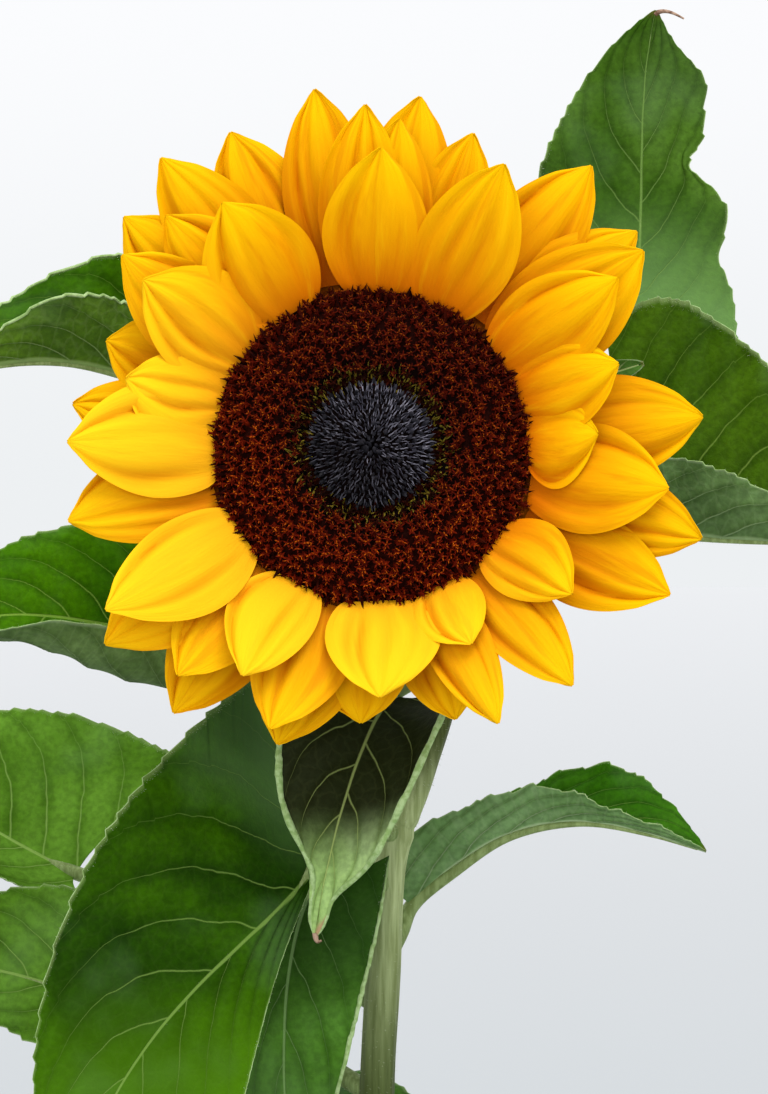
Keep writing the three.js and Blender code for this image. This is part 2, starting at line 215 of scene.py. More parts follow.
def addTube(shape, centres, radii, sides, slot, box, hair=0.0, across=(1, 0, 0), relief=None):
    # A round limb through centres, closed at both ends by a point on its axis.
    tangents = unit(np.gradient(centres, axis=0))
    side = np.array(across, float)
    first = unit(side - (tangents @ side)[:, None] * tangents)
    second = np.cross(first, tangents)
    angle = np.linspace(0, 2 * math.pi, sides, endpoint=False)
    ring = radii[:, None] * np.ones(sides)
    if relief is not None:
        ring = ring + relief(np.linspace(0, 1, len(centres))[:, None], angle)
    rings = (
        centres[:, None]
        + ring[..., None] * np.cos(angle)[:, None] * first[:, None]
        + ring[..., None] * np.sin(angle)[:, None] * second[:, None]
    )
    steps = np.append(0, np.cumsum(np.linalg.norm(np.diff(centres, axis=0), axis=1)))
    plan = stacked((steps / steps[-1])[:, None], np.linspace(0, 1, sides + 1))
    hair = np.append(np.repeat(np.broadcast_to(hair, len(centres)), sides), [0, 0])
    addRings(shape, rings, centres[[0, -1]], slot, box, plan, hair)


def addTurned(shape, profile, sides, slot, box, relief=None):
    # A profile of radius and height turned round the head's axis.
    radius, height = (np.array(column, float)[:, None] for column in zip(*profile))
    angle = np.linspace(0, -2 * math.pi, sides, endpoint=False)
    lift = relief(radius, angle) if relief is not None else 0
    rings = stacked(radius * np.cos(angle), radius * np.sin(angle), height + lift)[1:-1]
    plan = stacked(np.linspace(0, 1, sides + 1), np.linspace(0.02, 0.98, len(rings))[:, None])
    ends = [(0, 0, profile[0][1]), (0, 0, profile[-1][1])]
    addRings(shape, rings, ends, slot, box, plan, 0.0)


def limbLine(path, count):
    # The same centripetal curve that bends the source's limbs, with radii in step with it.
    shares = np.linspace(0, 1, count)
    knots = np.array([row[:3] for row in path], float)
    line = np.vstack([2 * knots[0] - knots[1], knots, 2 * knots[-1] - knots[-2]])
    gaps = np.sqrt(np.linalg.norm(np.diff(line, axis=0), axis=1))[:, None]
    along = shares * (len(knots) - 1)
    k = np.minimum(along.astype(int), len(knots) - 2)
    w = (along - k)[:, None]
    before, here, there, after = (line[k + i] for i in range(4))
    first, gap, last = (gaps[k + i] for i in range(3))
    step = (there - here) / gap
    start = ((here - before) / first - (there - before) / (first + gap) + step) * gap
    finish = (step - (after - here) / (gap + last) + (after - there) / last) * gap
    centres = ((2 * w**3 - 3 * w**2 + 1) * here + (w**3 - 2 * w**2 + w) * start
               + (3 * w**2 - 2 * w**3) * there + (w**3 - w**2) * finish)
    return centres, np.interp(along, range(len(path)), [row[3] for row in path])


# Materials


def newMaterial(name, roughness, shine, index, sheen=0.0):
    material = bpy.data.materials.new(name)
    material.use_nodes = True
    sockets = material.node_tree.nodes["Principled BSDF"].inputs
    for label, value in (("Roughness", roughness), ("Specular IOR Level", shine),
                         ("IOR", index), ("Sheen Weight", sheen)):
        sockets[label].default_value = value
    return material, partial(addNode, material.node_tree)


def layered(add, colour, layers):
    # Colours laid over one another: how much of each, its colour and, if need be, how.
    for share, over, *mixing in layers:
        kind = mixing[0] if mixing else "MIX"
        colour = add("Mix", {0: share, 6: colour, 7: over}, 2, blend_type=kind)
    return colour


def finishSkin(material, colour, height=None, depth=0.0):
    # Gives a material its colour, and a bump so many millimetres deep.
    tree = material.node_tree
    sockets = tree.nodes["Principled BSDF"].inputs
    tree.links.new(colour, sockets["Base Color"])
    if height is not None:
        bump = addNode(tree, "Bump", {"Height": height, "Distance": depth * mm})
        tree.links.new(bump, sockets["Normal"])
    return material


def noiseInputs(place, size, detail):
    # size is the width of a patch in millimetres
    return {"Vector": place, "Scale": 1 / (size * mm), "Detail": detail, "Roughness": 0.55}


veinLook = {  # widths in millimetres
    "wanderScale": 0.09,
    "wander": 0.3,  # as a share of the way from vein to vein
    "otherSide": 0.42,  # the veins of the left half start this share later
    "atRib": 0.46,
    "atMargin": 0.16,
    "ribAtBase": 0.56,
    "ribTaper": -0.36,
    "netScale": 0.3,
    "netWobble": 3,
    "netWidth": 0.14,
    "edgeFrom": 0.965,
}


def veinGroup():
    # Where a leaf's side veins, its fine net, its margin and the painted shade along its veins
    # lie, from its own blade marks: share of the length, share of the half width, and
    # millimetres from the midrib.
    group = bpy.data.node_groups.new("leafVeins", "ShaderNodeTree")
    for way, labels in (("INPUT", "Length Count Sweep Curl"), ("OUTPUT", "Vein Net Edge Quilt")):
        for label in labels.split():
            group.interface.new_socket(label, in_out=way, socket_type="NodeSocketFloat")
    add = partial(addNode, group)
    given = add("NodeGroupInput", output=None)
    marks = add("Attribute", output="Vector", attribute_name="blade")
    s, t, fromRib = add("SeparateXYZ", (marks,), None)
    reach = add("Math ABSOLUTE", (t,))
    bent = add("Math MULTIPLY_ADD", (reach, given["Curl"], given["Sweep"]))
    start = add("Math SUBTRACT", (s, add("Math MULTIPLY", (reach, bent))))
    left = add("Math GREATER_THAN", (t, 0.0))
    later = add("Math MULTIPLY_ADD", (left, veinLook["otherSide"], -0.5 * veinLook["wander"]))
    phase = add("Math MULTIPLY_ADD", (start, given["Count"], later))
    flat = add("CombineXYZ", (add("Math MULTIPLY", (s, given["Length"])), fromRib))
    wander = add("TexNoise", {"Vector": flat, "Scale": veinLook["wanderScale"]})
    phase = add("Math MULTIPLY_ADD", (wander, veinLook["wander"], phase))
    off = add("Math PINGPONG", (phase, 0.5))  # 0 on a vein and 0.5 between two
    apart = add("Math DIVIDE", (given["Length"], given["Count"]))
    distance = add("Math MULTIPLY", (off, apart))
    width = add("MapRange", (reach, 0.0, 1.0, veinLook["atRib"], veinLook["atMargin"]))
    share = add("Math SMOOTH_MIN", (add("Math DIVIDE", (distance, width)), 1.0, 0.3))
    fading = add("MapRange", (reach, 0.2, 1.0, 1.0, 0.25))
    side = add("Math MULTIPLY", (add("Math SUBTRACT", (1.0, share)), fading))
    ribWidth = add("Math MULTIPLY_ADD", (s, veinLook["ribTaper"], veinLook["ribAtBase"]))
    fromRib = add("Math DIVIDE", (add("Math ABSOLUTE", (fromRib,)), ribWidth))
    rib = add("MapRange", (fromRib, 0.55, 1.3, 1.0, 0.0))
    wobble = add("TexNoise", {"Vector": flat, "Scale": 0.35}, 1)
    moved = add("VectorMath MULTIPLY_ADD", (wobble, (veinLook["netWobble"],) * 3, flat))
    cells = add("TexVoronoi", {"Vector": moved, "Scale": veinLook["netScale"]},
                feature="DISTANCE_TO_EDGE", voronoi_dimensions="2D")
    add("NodeGroupOutput", {
        "Vein": add("Math MAXIMUM", (side, rib)),
        "Net": add("MapRange", (cells, 0.02, veinLook["netWidth"], 1.0, 0.0)),
        "Edge": add("MapRange", (reach, veinLook["edgeFrom"], 1.0)),
        # painted shade in the valleys along the side veins, darkest on a vein
        "Quilt": add("MapRange", (off, 0.3, 0.0)),
    }, None)
    return group


leafVeins = veinGroup()
leafSkins = {  # by side: roughness, shine, index, sheen, share of net and veins, their height
    "upper": ("LeafUpperWaxy", 0.48, 0.03, 1.45, 0.0, 0.015, 0.6, -0.3),
    "under": ("LeafUndersideFelted", 0.82, 0.05, 1.45, 0.06, 0.08, 0.7, 0.4),
}


def leafMaterials(name, leaf, length):
    # Living leaf, grown, with a thin waxy skin above: pale sunken veins and a pale woolly
    # margin. Below it is felted with hairs: greyer and dull. On both sides a soft broad shine
    # is painted as pale sheen patches, and painted shade lies along the side veins.
    made = []
    for face, (title, *surface, netShare, veinShare, lift) in leafSkins.items():
        dark, light, vein, edge = leaf[face]
        material, add = newMaterial(name + title, *surface)
        given = {"Length": length, "Count": leaf["veins"], "Sweep": leaf["sweep"],
                 "Curl": leaf["curl"]}
        veins = add("Group", given, None, node_tree=leafVeins)
        place = add("TexCoord", output="Object")
        patches = add("TexNoise", noiseInputs(place, 24, 2.0))
        specks = add("TexNoise", noiseInputs(place, 1.6, 4.0))
        blooms = add("TexNoise", noiseInputs(place, 41, 3.0))
        marks = add("Attribute", output="Vector", attribute_name="blade")
        s, t, _ = add("SeparateXYZ", (marks,), None)
        along = add("Math MULTIPLY_ADD", (t, leaf["slant"], s))
        shades = leaf["shades"] if face == "upper" else leaf["shades"][-1:]
        colour = layered(add, dark, [
            (add("MapRange", (patches, 0.34, 0.66)), light),
            (add("MapRange", (specks, 0.7, 0.3)), "#dcdcdc", "MULTIPLY"),
            # painted shade in the valleys along the side veins
            (veins["Quilt"], "#d6dcca", "MULTIPLY"),
            # painted sheen: pale bluish patches
            (add("MapRange", (blooms, 0.5, 0.68, 0.0, leaf["bloom"])), "#7c9c6c"),
            (add("Math MULTIPLY", (veins["Edge"], 0.3)), edge),
            *((add("MapRange", (along, first, last, 0.0, strength)), tint)
              for first, last, tint, strength in shades),
            (add("Math MULTIPLY", (veins["Net"], netShare)), vein),
            (add("Math MULTIPLY", (veins["Vein"], veinShare)), vein),
        ])
        height = 0.0  # veins stand out below and sink in above
        for source, rise in ((veins["Vein"], lift), (veins["Net"], 0.14 * lift), (specks, 0.45)):
            height = add("Math MULTIPLY_ADD", (source, rise, height))
        made.append(finishSkin(material, colour, height, 0.45))
    return made


def limbMaterial(name, high, low, heights):
    # Herbaceous stem, grown, ribbed and hairy: matte pale olive, lengthwise streaks.
    material, add = newMaterial(name, 0.72, 0.2, 1.42, 0.05)
    place = add("TexCoord", output="Object")
    up = add("SeparateXYZ", (place,), 2)
    long = add("Mapping", {"Vector": place, "Scale": (1, 1, 0.07)})
    streaks = add("TexNoise", noiseInputs(long, 1.1, 4.0))
    colour = layered(add, low, [
        (add("MapRange", (up, heights[0] * mm, heights[1] * mm)), high),
        (add("MapRange", (streaks, 0.72, 0.3)), "#c6cab4", "MULTIPLY"),
    ])
    return finishSkin(material, colour, streaks, 0.2)


raySkin = {
    "stretch": 2.2,  # how much shorter the veins' pattern is along the ray
    "scale": 0.42,
    "dark": 0.38,  # shares of the dark and pale veins and of the creases' dark lines, partly painted shade
    "pale": 0.25,
    "crease": 0.55,
    # the colour of the painted light on the lower left rays
    "paintedLightColour": "#fac61e",
}


def rayMaterial(name, look):
    # Ray petal, grown: velvety, saturated with pigment, orange at the claw and clear yellow
    # at the tip, with uneven lengthwise veins, other ones on each petal. The claw's orange is
    # partly painted shade near the disc, the dark lines in the creases are partly pigment and
    # partly painted shade, and painted light makes the rays paler at the head's lower left.
    claw, blade, tip, vein, between, paintedLight = look
    material, add = newMaterial(name, 0.7, 0.05, 1.38)
    marks = add("Attribute", output="Vector", attribute_name="blade")
    s, crease, across = add("SeparateXYZ", (marks,), None)
    along = add("Math MULTIPLY", (s, raySkin["stretch"]))
    veins = add("TexNoise", {"Vector": add("CombineXYZ", (across, along)), "Detail": 4.0,
                             "Scale": raySkin["scale"], "Roughness": 0.62},
                noise_dimensions="2D")
    x, _, z = add("SeparateXYZ", (add("TexCoord", output="Object"),), None)
    rise = add("Math MULTIPLY_ADD", (x, 0.9, z))
    colour = layered(add, claw, [
        # orange towards the claw: partly the ray's own colour, partly painted shade near the disc
        (add("MapRange", (s, 0.0, 0.5)), blade),
        (add("MapRange", (s, 0.4, 0.95)), tip),
        (add("MapRange", (veins, 0.53, 0.33, 0.0, raySkin["dark"])), vein),
        (add("MapRange", (veins, 0.55, 0.75, 0.0, raySkin["pale"])), between),
        # painted light: paler and more lemon towards the head's lower left
        (add("MapRange", (rise, 0.425, 0.35, 0.0, paintedLight)), raySkin["paintedLightColour"]),
        # dark lines in the creases: partly pigment, partly painted shade
        (add("Math MULTIPLY", (crease, raySkin["crease"])), vein),
    ])
    return finishSkin(material, colour, veins, 0.45)


def grainMaterial(name, dark, light, size, roughness, shine=0.04, dim=None):
    # A small grown part with one colour that varies a little from grain to grain.
    # dim paints shade on it by place on the disc: slant, from, to and share, then share by the
    # knob.
    material, add = newMaterial(name, roughness, shine, 1.45)
    place = add("TexCoord", output="Object")
    grains = add("TexNoise", noiseInputs(place, size, 2.0))
    layers = [(add("MapRange", (grains, 0.35, 0.65)), light)]
    if dim is not None:
        slant, low, high, share, shareByKnob = dim
        x, _, z = add("SeparateXYZ", (place,), None)
        rise = add("Math MULTIPLY_ADD", (x, slant, z))
        away = add("VectorMath DISTANCE", (place, tuple(v * mm for v in head["centre"])), "Value")
        # painted shade, by height and slant, and near the knob
        layers += [
            (add("MapRange", (rise, low * mm, high * mm, 0.0, share)), "#060505"),
            (add("MapRange", (away, 26 * mm, 17 * mm, 0.0, shareByKnob)), "#060505"),
        ]
    return finishSkin(material, layered(add, dark, layers), grains, 0.1)


# Stem and neck

stem = {
    "path": [
        (0, 0, 0, 9.5), (0, 0, 5, 8.2), (-0.4, 0.2, 14, 6.9), (-1.4, 0.8, 40, 6.3),
        (-3.0, 1.0, 110, 5.7), (-3.0, 0.6, 180, 5.1), (-1.8, 0, 243, 4.4),
        (-0.2, 0, 272, 4.1), (1.6, 0, 299, 3.9), (3.7, 0, 309.6, 3.85),
    ],
    "ribs": 11,
    "ribDepth": 0.08,
    "sides": 66,
    "rows": 300,
    "hairs": 0.2,  # for each square millimetre
    "high": "#bfcc94",
    "low": "#4e5c2c",
}
neck = {
    "path": [
        (3.65, 0, 309, 3.8), (6.6, 0.6, 315, 3.5), (10.2, 2.5, 325, 3.4),
        (14.2, 5.5, 337, 3.4), (18.2, 8.5, 355, 3.4), (17.5, 8.5, 375, 3.5),
        (10.5, 3.5, 390, 3.7), (1.5, -9.5, 396, 4.2), (-3, -24, 397.5, 5.4),
        (-3, -26.2, 397.8, 5.9),
    ],
    "ribs": 9,
    "ribDepth": 0.08,
    "sides": 72,
    "rows": 170,
    "hairs": 0.4,
}


def buildLimb(name, limb, material, collar):
    # collar is the slight ring where the main stalks leave: height, rise and width.
    centres, radii = limbLine(limb["path"], limb["rows"])
    radii = radii + collar[1] * np.exp(-((centres[:, 2] - collar[0]) / collar[2]) ** 2)
    length = np.linalg.norm(np.diff(centres, axis=0), axis=1).sum()

    def relief(share, angle):
        ridge = np.cos(limb["ribs"] * angle + 1.6 * np.sin(share * 5)) * limb["ribDepth"]
        return ridge + 0.12 * np.sin(share * length / 9 + 2 * np.sin(angle))

    shape = Shape()
    hair = limb["hairs"] * smooth(5, 20, centres[:, 2])
    addTube(shape, centres, radii, limb["sides"], 0, (0.01, 0.01, 0.98, 0.98), hair,
            relief=relief)
    return dress(shape.build(name, [material]), "stem", name.replace("Ridged", ""))


print("stem and neck")
# The stem is paler up towards the head, partly as painted light that lifts the shade there.
stemSkin = limbMaterial("stemSkinRidgedHairy", stem["high"], stem["low"], (236, 304))
stemPiece = buildLimb("stemRidged", stem, stemSkin, (306.5, 0.35, 1.6))
# The neck darkens up towards the head: painted shadow of the head.
neckSkin = limbMaterial("neckSkinRidgedHairy", "#525c2c", stem["high"], (310, 332))
neckPiece = buildLimb("neckRidged", neck, neckSkin, (311, 0.3, 1.5))

# Leaves

dryTip = (0.965, 1.0, "#5c5024", 0.6)
# A leaf's pairs are for its left and its right half. half is the widest half width. fold and
# rim are how steeply a half rises at the midrib and at its margin, in degrees, and tipFold is
# both at the tip. heart says how wide a half starts, and bulge how near the tip it is widest.
# lobe is how far it reaches back past the stalk, as a share of the length.
leafLook = {  # what a leaf has when its own row says nothing else
    "face": (0, -1, 0.4),  # where its upper side looks at the base and at the tip
    "tipFace": (0, -1, 0.5),
    "heart": (0.1, 0.1),
    "wave": 1.5,  # height of its margin's long waves
    "frill": 0.5,  # and of the short ones
    "lobe": (0.16, 0.16),
    "bulge": (0.62, 0.62),
    "veins": 7.0,  # side veins in each half
    "sweep": 0.3,  # how far they reach forward, as a share of the length
    "curl": 0.14,  # and how far they bend on from there
    "teeth": 21,
    "toothDepth": (1.1, 1.1),  # left and right
    "notches": [],  # side (0 left, 1 right), share of the length, depth, width as a share
    "quilt": 0.45,  # how far it swells between its side veins
    "rows": 130,
    "columns": 46,
    "thickness": 0.55,
    "edgeHair": 4.0,  # hairs for each square millimetre of its rim
    "margin": 0.13,  # radius of its woolly hem
    "shades": [dryTip],  # tints along its length, some of them painted shade and painted sheen: from and to share of the length, colour, strength
    "slant": 0.0,  # how far these shades reach on at the left margin
    "bloom": 0.13,  # how pale its painted sheen patches are
    "upper": ("#2a5200", "#3c6a02", "#88a844", "#a4b87c"),
    "under": ("#4a6634", "#5e7b46", "#93aa78", "#a9ba94"),
}
leaves = {
    "leaf_upper_right": {
        "stalk": [(17.5, 8.5, 366), (40, 30, 398)],
        "rib": [(63, 50, 430), (67.5, 60, 459), (68.5, 64, 490), (71.6, 58, 518)],
        "face": (0, -1, 0.2), "tipFace": (0.1, -1, 0.1), "half": (31, 23),
        "fold": (6, 6), "rim": (10, -4), "heart": (0.16, 0.16), "bulge": (0.8, 0.8),
        "wave": 2.6, "point": (7.5, -1, -1.4),
        "notches": [(1, 0.55, 7.5, 0.06), (1, 0.33, 3.0, 0.05), (1, 0.8, -5.0, 0.09),
                    (1, 0.1, -7.0, 0.15), (0, 0.4, 3.0, 0.08)],
        "upper": ("#32540c", "#44661c", "#6f8e46", "#8fa468"), "quilt": 0.8,
        # painted sheen, paler and bluish towards the base
        "shades": [(0.5, 0.1, "#6a9052", 0.6), dryTip],
    },
    "leaf_right": {
        "stalk": [(18, 8.5, 352), (34, 9, 376)],
        "rib": [(53, 5, 383), (75, 0, 379.5), (99, -5, 378), (124, -12, 378)],
        "face": (-0.1, -1, 0.4), "tipFace": (0.2, -1, 0.4), "half": (60, 21),
        "fold": (4, 110), "rim": (10, 175), "tipFold": (10, 100), "heart": (0.14, 0.14),
        "upper": ("#2c4a00", "#3e5e08", "#829e44", "#a4b87c"), "quilt": 0.8,
    },
    "leaf_upper_left": {
        "stalk": [(14, 6, 383), (-10, 14, 399)],
        "rib": [(-38, 12, 412), (-63, 5, 419), (-87, -4, 422), (-113, -10, 412)],
        "face": (0, -1, 0.5), "tipFace": (0, -1, 0.5), "half": (22, 31),
        "fold": (108, 5), "rim": (172, 12), "tipFold": (96, 10), "heart": (0.12, 0.1),
        "wave": 4.2, "under": ("#3c5c10", "#56781c", "#8ea664", "#b4c69c"),
        # painted shadow of the head, darker towards the base
        "shades": [(0.52, 0.2, "#161e04", 0.7)], "margin": 0.4,
    },
    "leaf_middle_left": {
        "stalk": [(12.5, 4.5, 331), (-12, 9, 345)],
        "rib": [(-44, 9, 354), (-70, 2, 358), (-94, -8, 360), (-121, -16, 350)],
        "half": (38, 26),
        "fold": (-40, 5), "rim": (165, 5), "tipFold": (30, 10),
        "upper": ("#2f5e00", "#447802", "#8cb048", "#a4b87c"), "quilt": 0.8,
        "under": ("#4c6630", "#607a40", "#93aa70", "#a9ba94"),
    },
    "leaf_collar": {
        "stalk": [(14, 5, 337), (11, -8, 346)],
        "rib": [(2, -13, 341), (-5, -24, 329), (-11.5, -31, 309), (-16.3, -32, 285)],
        "face": (0.1, -1, 0.25), "tipFace": (-0.05, -1, 0.2), "half": (25, 24.5),
        "fold": (22, 14), "rim": (90, 30), "tipFold": (20, 20), "heart": (0.12, 0.2),
        "wave": 0.8, "upper": ("#9cbc70", "#b0cc88", "#a4b468", "#c0caa6"), "bloom": 0.0,
        # painted shadow of the head on the upper part, over a base also darker as it wilts; then
        # a dry pinkish tip
        "shades": [(0.84, 0.56, "#100d00", 0.96), (0.955, 1.0, "#a87c64", 0.8)],
        "notches": [(0, 0.86, 3.6, 0.08), (1, 0.8, 5.5, 0.12)],
        "teeth": 12, "toothDepth": (0.3, 0.3), "edgeHair": 4.0, "margin": 0.9, "slant": 0.07,
        "veins": 5.0, "point": (1.4, -1.6, -1.6),
    },
    "leaf_front_left": {
        "stalk": [(3.1, 0, 306), (-4, -11, 309.5)],
        "rib": [(-15, -20, 303), (-33, -34, 284), (-57, -39, 258), (-75, -36, 214)],
        "face": (0.05, -1, 0.3), "tipFace": (0, -1, 0.2), "half": (27, 45),
        "fold": (-10, 4), "rim": (-14, 16), "heart": (0.02, 0.1), "lobe": (0, 0.38),
        "bulge": (2, 0.62),
        "upper": ("#1a3a00", "#305800", "#7c9c48", "#9db56c"), "quilt": 0.9,
        # paler towards the tip; then painted sheen, pale and bluish on the lobe at the base
        "shades": [(0.4, 0.8, "#50800a", 0.55), (0.14, -0.14, "#628a4c", 0.5),
                   dryTip], "slant": 0.2,
        "teeth": 26, "toothDepth": (0.15, 1.3), "rows": 180, "columns": 60, "sweep": 0.34,
    },
    "leaf_hanging": {
        "stalk": [(1.2, 0, 292), (-5, -7, 299)],
        "rib": [(-15, -10.5, 299), (-22.5, -14, 277), (-24, -14, 246), (-20.5, -10, 203)],
        "face": (0.05, -1, 0.1), "tipFace": (0.1, -1, 0.1), "half": (18.5, 14),
        "fold": (4, 4), "rim": (8, 8), "heart": (0.13, 0.04), "lobe": (0.11, 0.1),
        "bulge": (0.75, 0.75), "wave": 1.2,
        "upper": ("#44701e", "#588a30", "#7d9c60", "#b4c2a0"), "bloom": 0.12,
        # painted shade, darker towards the top behind the collar
        "shades": [(0.6, 0.25, "#16300a", 0.75), dryTip],
        "toothDepth": (0.3, 0.3), "edgeHair": 7.0, "margin": 0.6, "veins": 5.0,
    },
    "leaf_lower_right": {
        "stalk": [(0.2, 0, 276)],
        "rib": [(7, 8, 288), (33, 2, 307), (56, -6, 309), (78, -10, 303)],
        "face": (0.1, -0.1, 1), "tipFace": (0.3, -0.2, 1), "half": (17.5, 21.5),
        "fold": (26, 56), "rim": (56, 94), "tipFold": (34, 50), "heart": (0.2, 0.5),
        "lobe": (0, 0), "bulge": (1.6, 0.4), "wave": 1.0,
        "upper": ("#2c5e04", "#3c7010", "#7ea048", "#96b070"),
        "under": ("#668a50", "#7a9c64", "#acc094", "#a9ba94"),
    },
    "leaf_back_left": {
        "stalk": [(-0.6, 0, 264), (-38, 38, 282)],
        "rib": [(-81, 58, 291), (-102, 64, 301), (-123, 64, 313), (-146, 56, 325)],
        "face": (0.1, -1, 0.5), "tipFace": (0, -1, 0.6), "half": (20, 41),
        "fold": (10, 8), "rim": (80, 6), "heart": (0.1, 0.16), "lobe": (0.3, 0.3),
        "upper": ("#4e7a18", "#66962c", "#94b45c", "#a4b87c"),
    },
    "leaf_low_left": {
        "stalk": [(-1.8, 0, 242), (-28, 18, 254)],
        "rib": [(-57, 25, 261), (-83, 30, 265), (-109, 28, 271), (-137, 20, 266)],
        "half": (16, 27), "fold": (-20, 8), "rim": (-10, 8), "lobe": (0.3, 0.3),
        "upper": ("#4e7a18", "#66962c", "#94b45c", "#a4b87c"),
    },
}
stemLeaves = {  # leaves by one rule: height on the stem, direction in degrees, length
    "leaf_back_high": (202, 118, 104),
    "leaf_stem_right": (208, -22, 108),
    "leaf_back_middle": (178, 60, 108),
    "leaf_stem_left": (164, 188, 112),
    "leaf_stem_front": (136, -76, 110),
    "leaf_stem_back_right": (122, 34, 112),
    "leaf_low_back": (84, 128, 104),
    "leaf_low_front": (66, -128, 100),
    "leaf_low_right": (54, 2, 100),
}


def stemLeaf(height, turn, length):
    heights = [p[2] for p in stem["path"]]
    centre = [np.interp(height, heights, [p[i] for p in stem["path"]]) for i in (0, 1)]
    angle = math.radians(turn)

    def at(out, up, side=0.0):
        return (
            centre[0] + out * math.cos(angle) - side * math.sin(angle),
            centre[1] + out * math.sin(angle) + side * math.cos(angle),
            height + up,
        )

    bow = 5 * math.sin(turn)  # some bend left and others right
    return {
        "stalk": [at(0, 0), at(14, 9)],
        "rib": [at(32, 20), at(32 + length * 0.33, 27, bow), at(32 + length * 0.64, 20, bow),
                at(32 + length * 0.9, -4)],
        "face": (-0.25 * math.cos(angle), -0.25 * math.sin(angle), 1),
        "tipFace": (0.4 * math.cos(angle), 0.4 * math.sin(angle), 1),
        "half": (length * 0.34, length * 0.34), "fold": (14, 14), "rim": (-4, -4),
        "wave": 2.0, "rows": 90, "columns": 34,
        "upper": ("#2a5402", "#3c6c08", "#86a64c", "#a3b684"),
    }


def ribCurve(points):
    # A cubic through four points at equal steps, as its coefficients.
    return np.polyfit(np.linspace(0, 1, 4), np.array(points, float), 3)


def ribPoint(curve, s):
    return ((curve[0] * s + curve[1]) * s + curve[2]) * s + curve[3]


def ribTangent(curve, s):
    return unit((3 * curve[0] * s + 2 * curve[1]) * s + curve[2])


def leafFrame(leaf, curve, s):
    tangent = ribTangent(curve, s)
    face = blend(np.array(leaf["face"], float), np.array(leaf["tipFace"], float), s)
    face = unit(face - (face * tangent).sum(-1, keepdims=True) * tangent)
    return tangent, face, np.cross(tangent, face)


def leafHalf(leaf, s, reach, k, seed):
    # The half width along the leaf, with teeth that point to the tip and the odd notch.
    swell = blend(leaf["heart"][k], 1, s) ** leaf["bulge"][k]
    half = leaf["half"][k] * np.maximum(np.sin(math.pi * swell), 0) ** 0.9 + 0.4
    phase = s * leaf["teeth"] + 0.5 * np.sin(s * 19 + seed + 2 * k)
    tooth = (phase % 1) ** 1.5 - 0.4
    size = leaf["toothDepth"][k] * (0.75 + 0.25 * np.sin(phase * 2.3))
    edge = smooth(0.55, 1.0, reach) * size * np.sin(math.pi * s) ** 0.4 * tooth
    for side, at, depth, width in leaf["notches"]:
        if side == k:
            edge = edge - depth * np.exp(-((s - at) / width) ** 2) * smooth(0.3, 1.0, reach)
    return np.maximum(half + edge, 0.3)


def leafMiddle(leaf, curve, s, t, length, seed):
    tangent, face, right = leafFrame(leaf, curve, s[..., None])
    point = ribPoint(curve, s[..., None])
    reach = np.abs(t)
    tipFold = leaf.get("tipFold", leaf["fold"])
    across = np.zeros(np.broadcast(s, t).shape)
    up = np.zeros_like(across)
    drawn = np.zeros_like(across)
    for k, side in ((0, t > 0), (1, t <= 0)):
        first = np.radians(blend(leaf["fold"][k], tipFold[k], s))
        last = np.radians(blend(leaf["rim"][k], tipFold[k], s * s))
        bend = np.where(np.abs(last - first) < 1e-6, 1e-6, last - first)
        half = leafHalf(leaf, s, reach, k, seed)
        angle = first + bend * reach
        across = np.where(side, half * (np.sin(angle) - np.sin(first)) / bend, across)
        lift = half * (np.cos(first) - np.cos(angle)) / bend
        ripple = leaf["wave"] * t * t * np.sin(math.pi * s) * np.sin(s * 13 + (2 if k else 0))
        frill = leaf["frill"] * reach**3 * np.sin(math.pi * s) * np.sin(s * 47 + seed + k)
        up = np.where(side, lift + ripple + frill, up)
        drawn = np.where(side, leaf["lobe"][k] * length * t * t * (1 - s)**3, drawn)
    point = point - (np.sign(t) * across)[..., None] * right
    return point + up[..., None] * face - drawn[..., None] * tangent, np.sign(t) * across


def quilting(leaf, s, t):
    # How far the blade swells up between its side veins, as the vein pattern has them.
    reach = np.abs(t)
    start = s - leaf["sweep"] * reach - leaf["curl"] * reach * reach
    phase = start * leaf["veins"] + veinLook["otherSide"] * (t > 0)
    swell = np.abs(np.sin(math.pi * phase)) ** 0.8
    near = smooth(0.0, 0.12, reach) * (1 - reach**4) * np.sin(math.pi * s) ** 0.5
    return leaf["quilt"] * near * (swell - 0.35)


pointDetail = {
    "rows": 12,
    "sides": 8,
    "radii": (0.75, 0.25),
    "arch": 1.2,
}


def buildLeaf(name, row, seed):
    leaf = {**leafLook, **row}
    curve = ribCurve(leaf["rib"])
    line = ribPoint(curve, np.linspace(0, 1, 60)[:, None])
    length = np.linalg.norm(np.diff(line, axis=0), axis=1).sum()
    s, t, thickness = bladeGrid(leaf, 6, 0.12)
    middle, across = leafMiddle(leaf, curve, s, t, length, seed)
    middle = middle + gridNormals(middle) * quilting(leaf, s, t)[..., None]
    shape = Shape()
    boxes = [(0.01, 0.54, 0.98, 0.45), (0.01, 0.08, 0.98, 0.45)]
    addBlade(shape, middle, s, t, (s, t, across), thickness, (0, 1), boxes, leaf["edgeHair"])
    addStalk(shape, leaf, curve)
    for k, hem in ((0, middle[:, -1]), (1, middle[:, 0])):
        swell = leaf["margin"] * (1 + 0.13 * np.sin(s[:, 0] * 47 + k))
        addTube(shape, hem, swell * np.sin(math.pi * s[:, 0]) ** 0.5, 6, 3,
                (0.01, 0.045 + 0.016 * k, 0.98, 0.012), across=leaf["face"])
    title = name.replace("_", " ").title().replace(" ", "")
    skins = [*leafMaterials(title, leaf, length), stalkSkin, hemWool]
    if "point" in leaf:
        addPoint(shape, leaf, curve)
        skins.append(pointSkin)
    return dress(shape.build(name + "_grown", skins), "leaves", name)


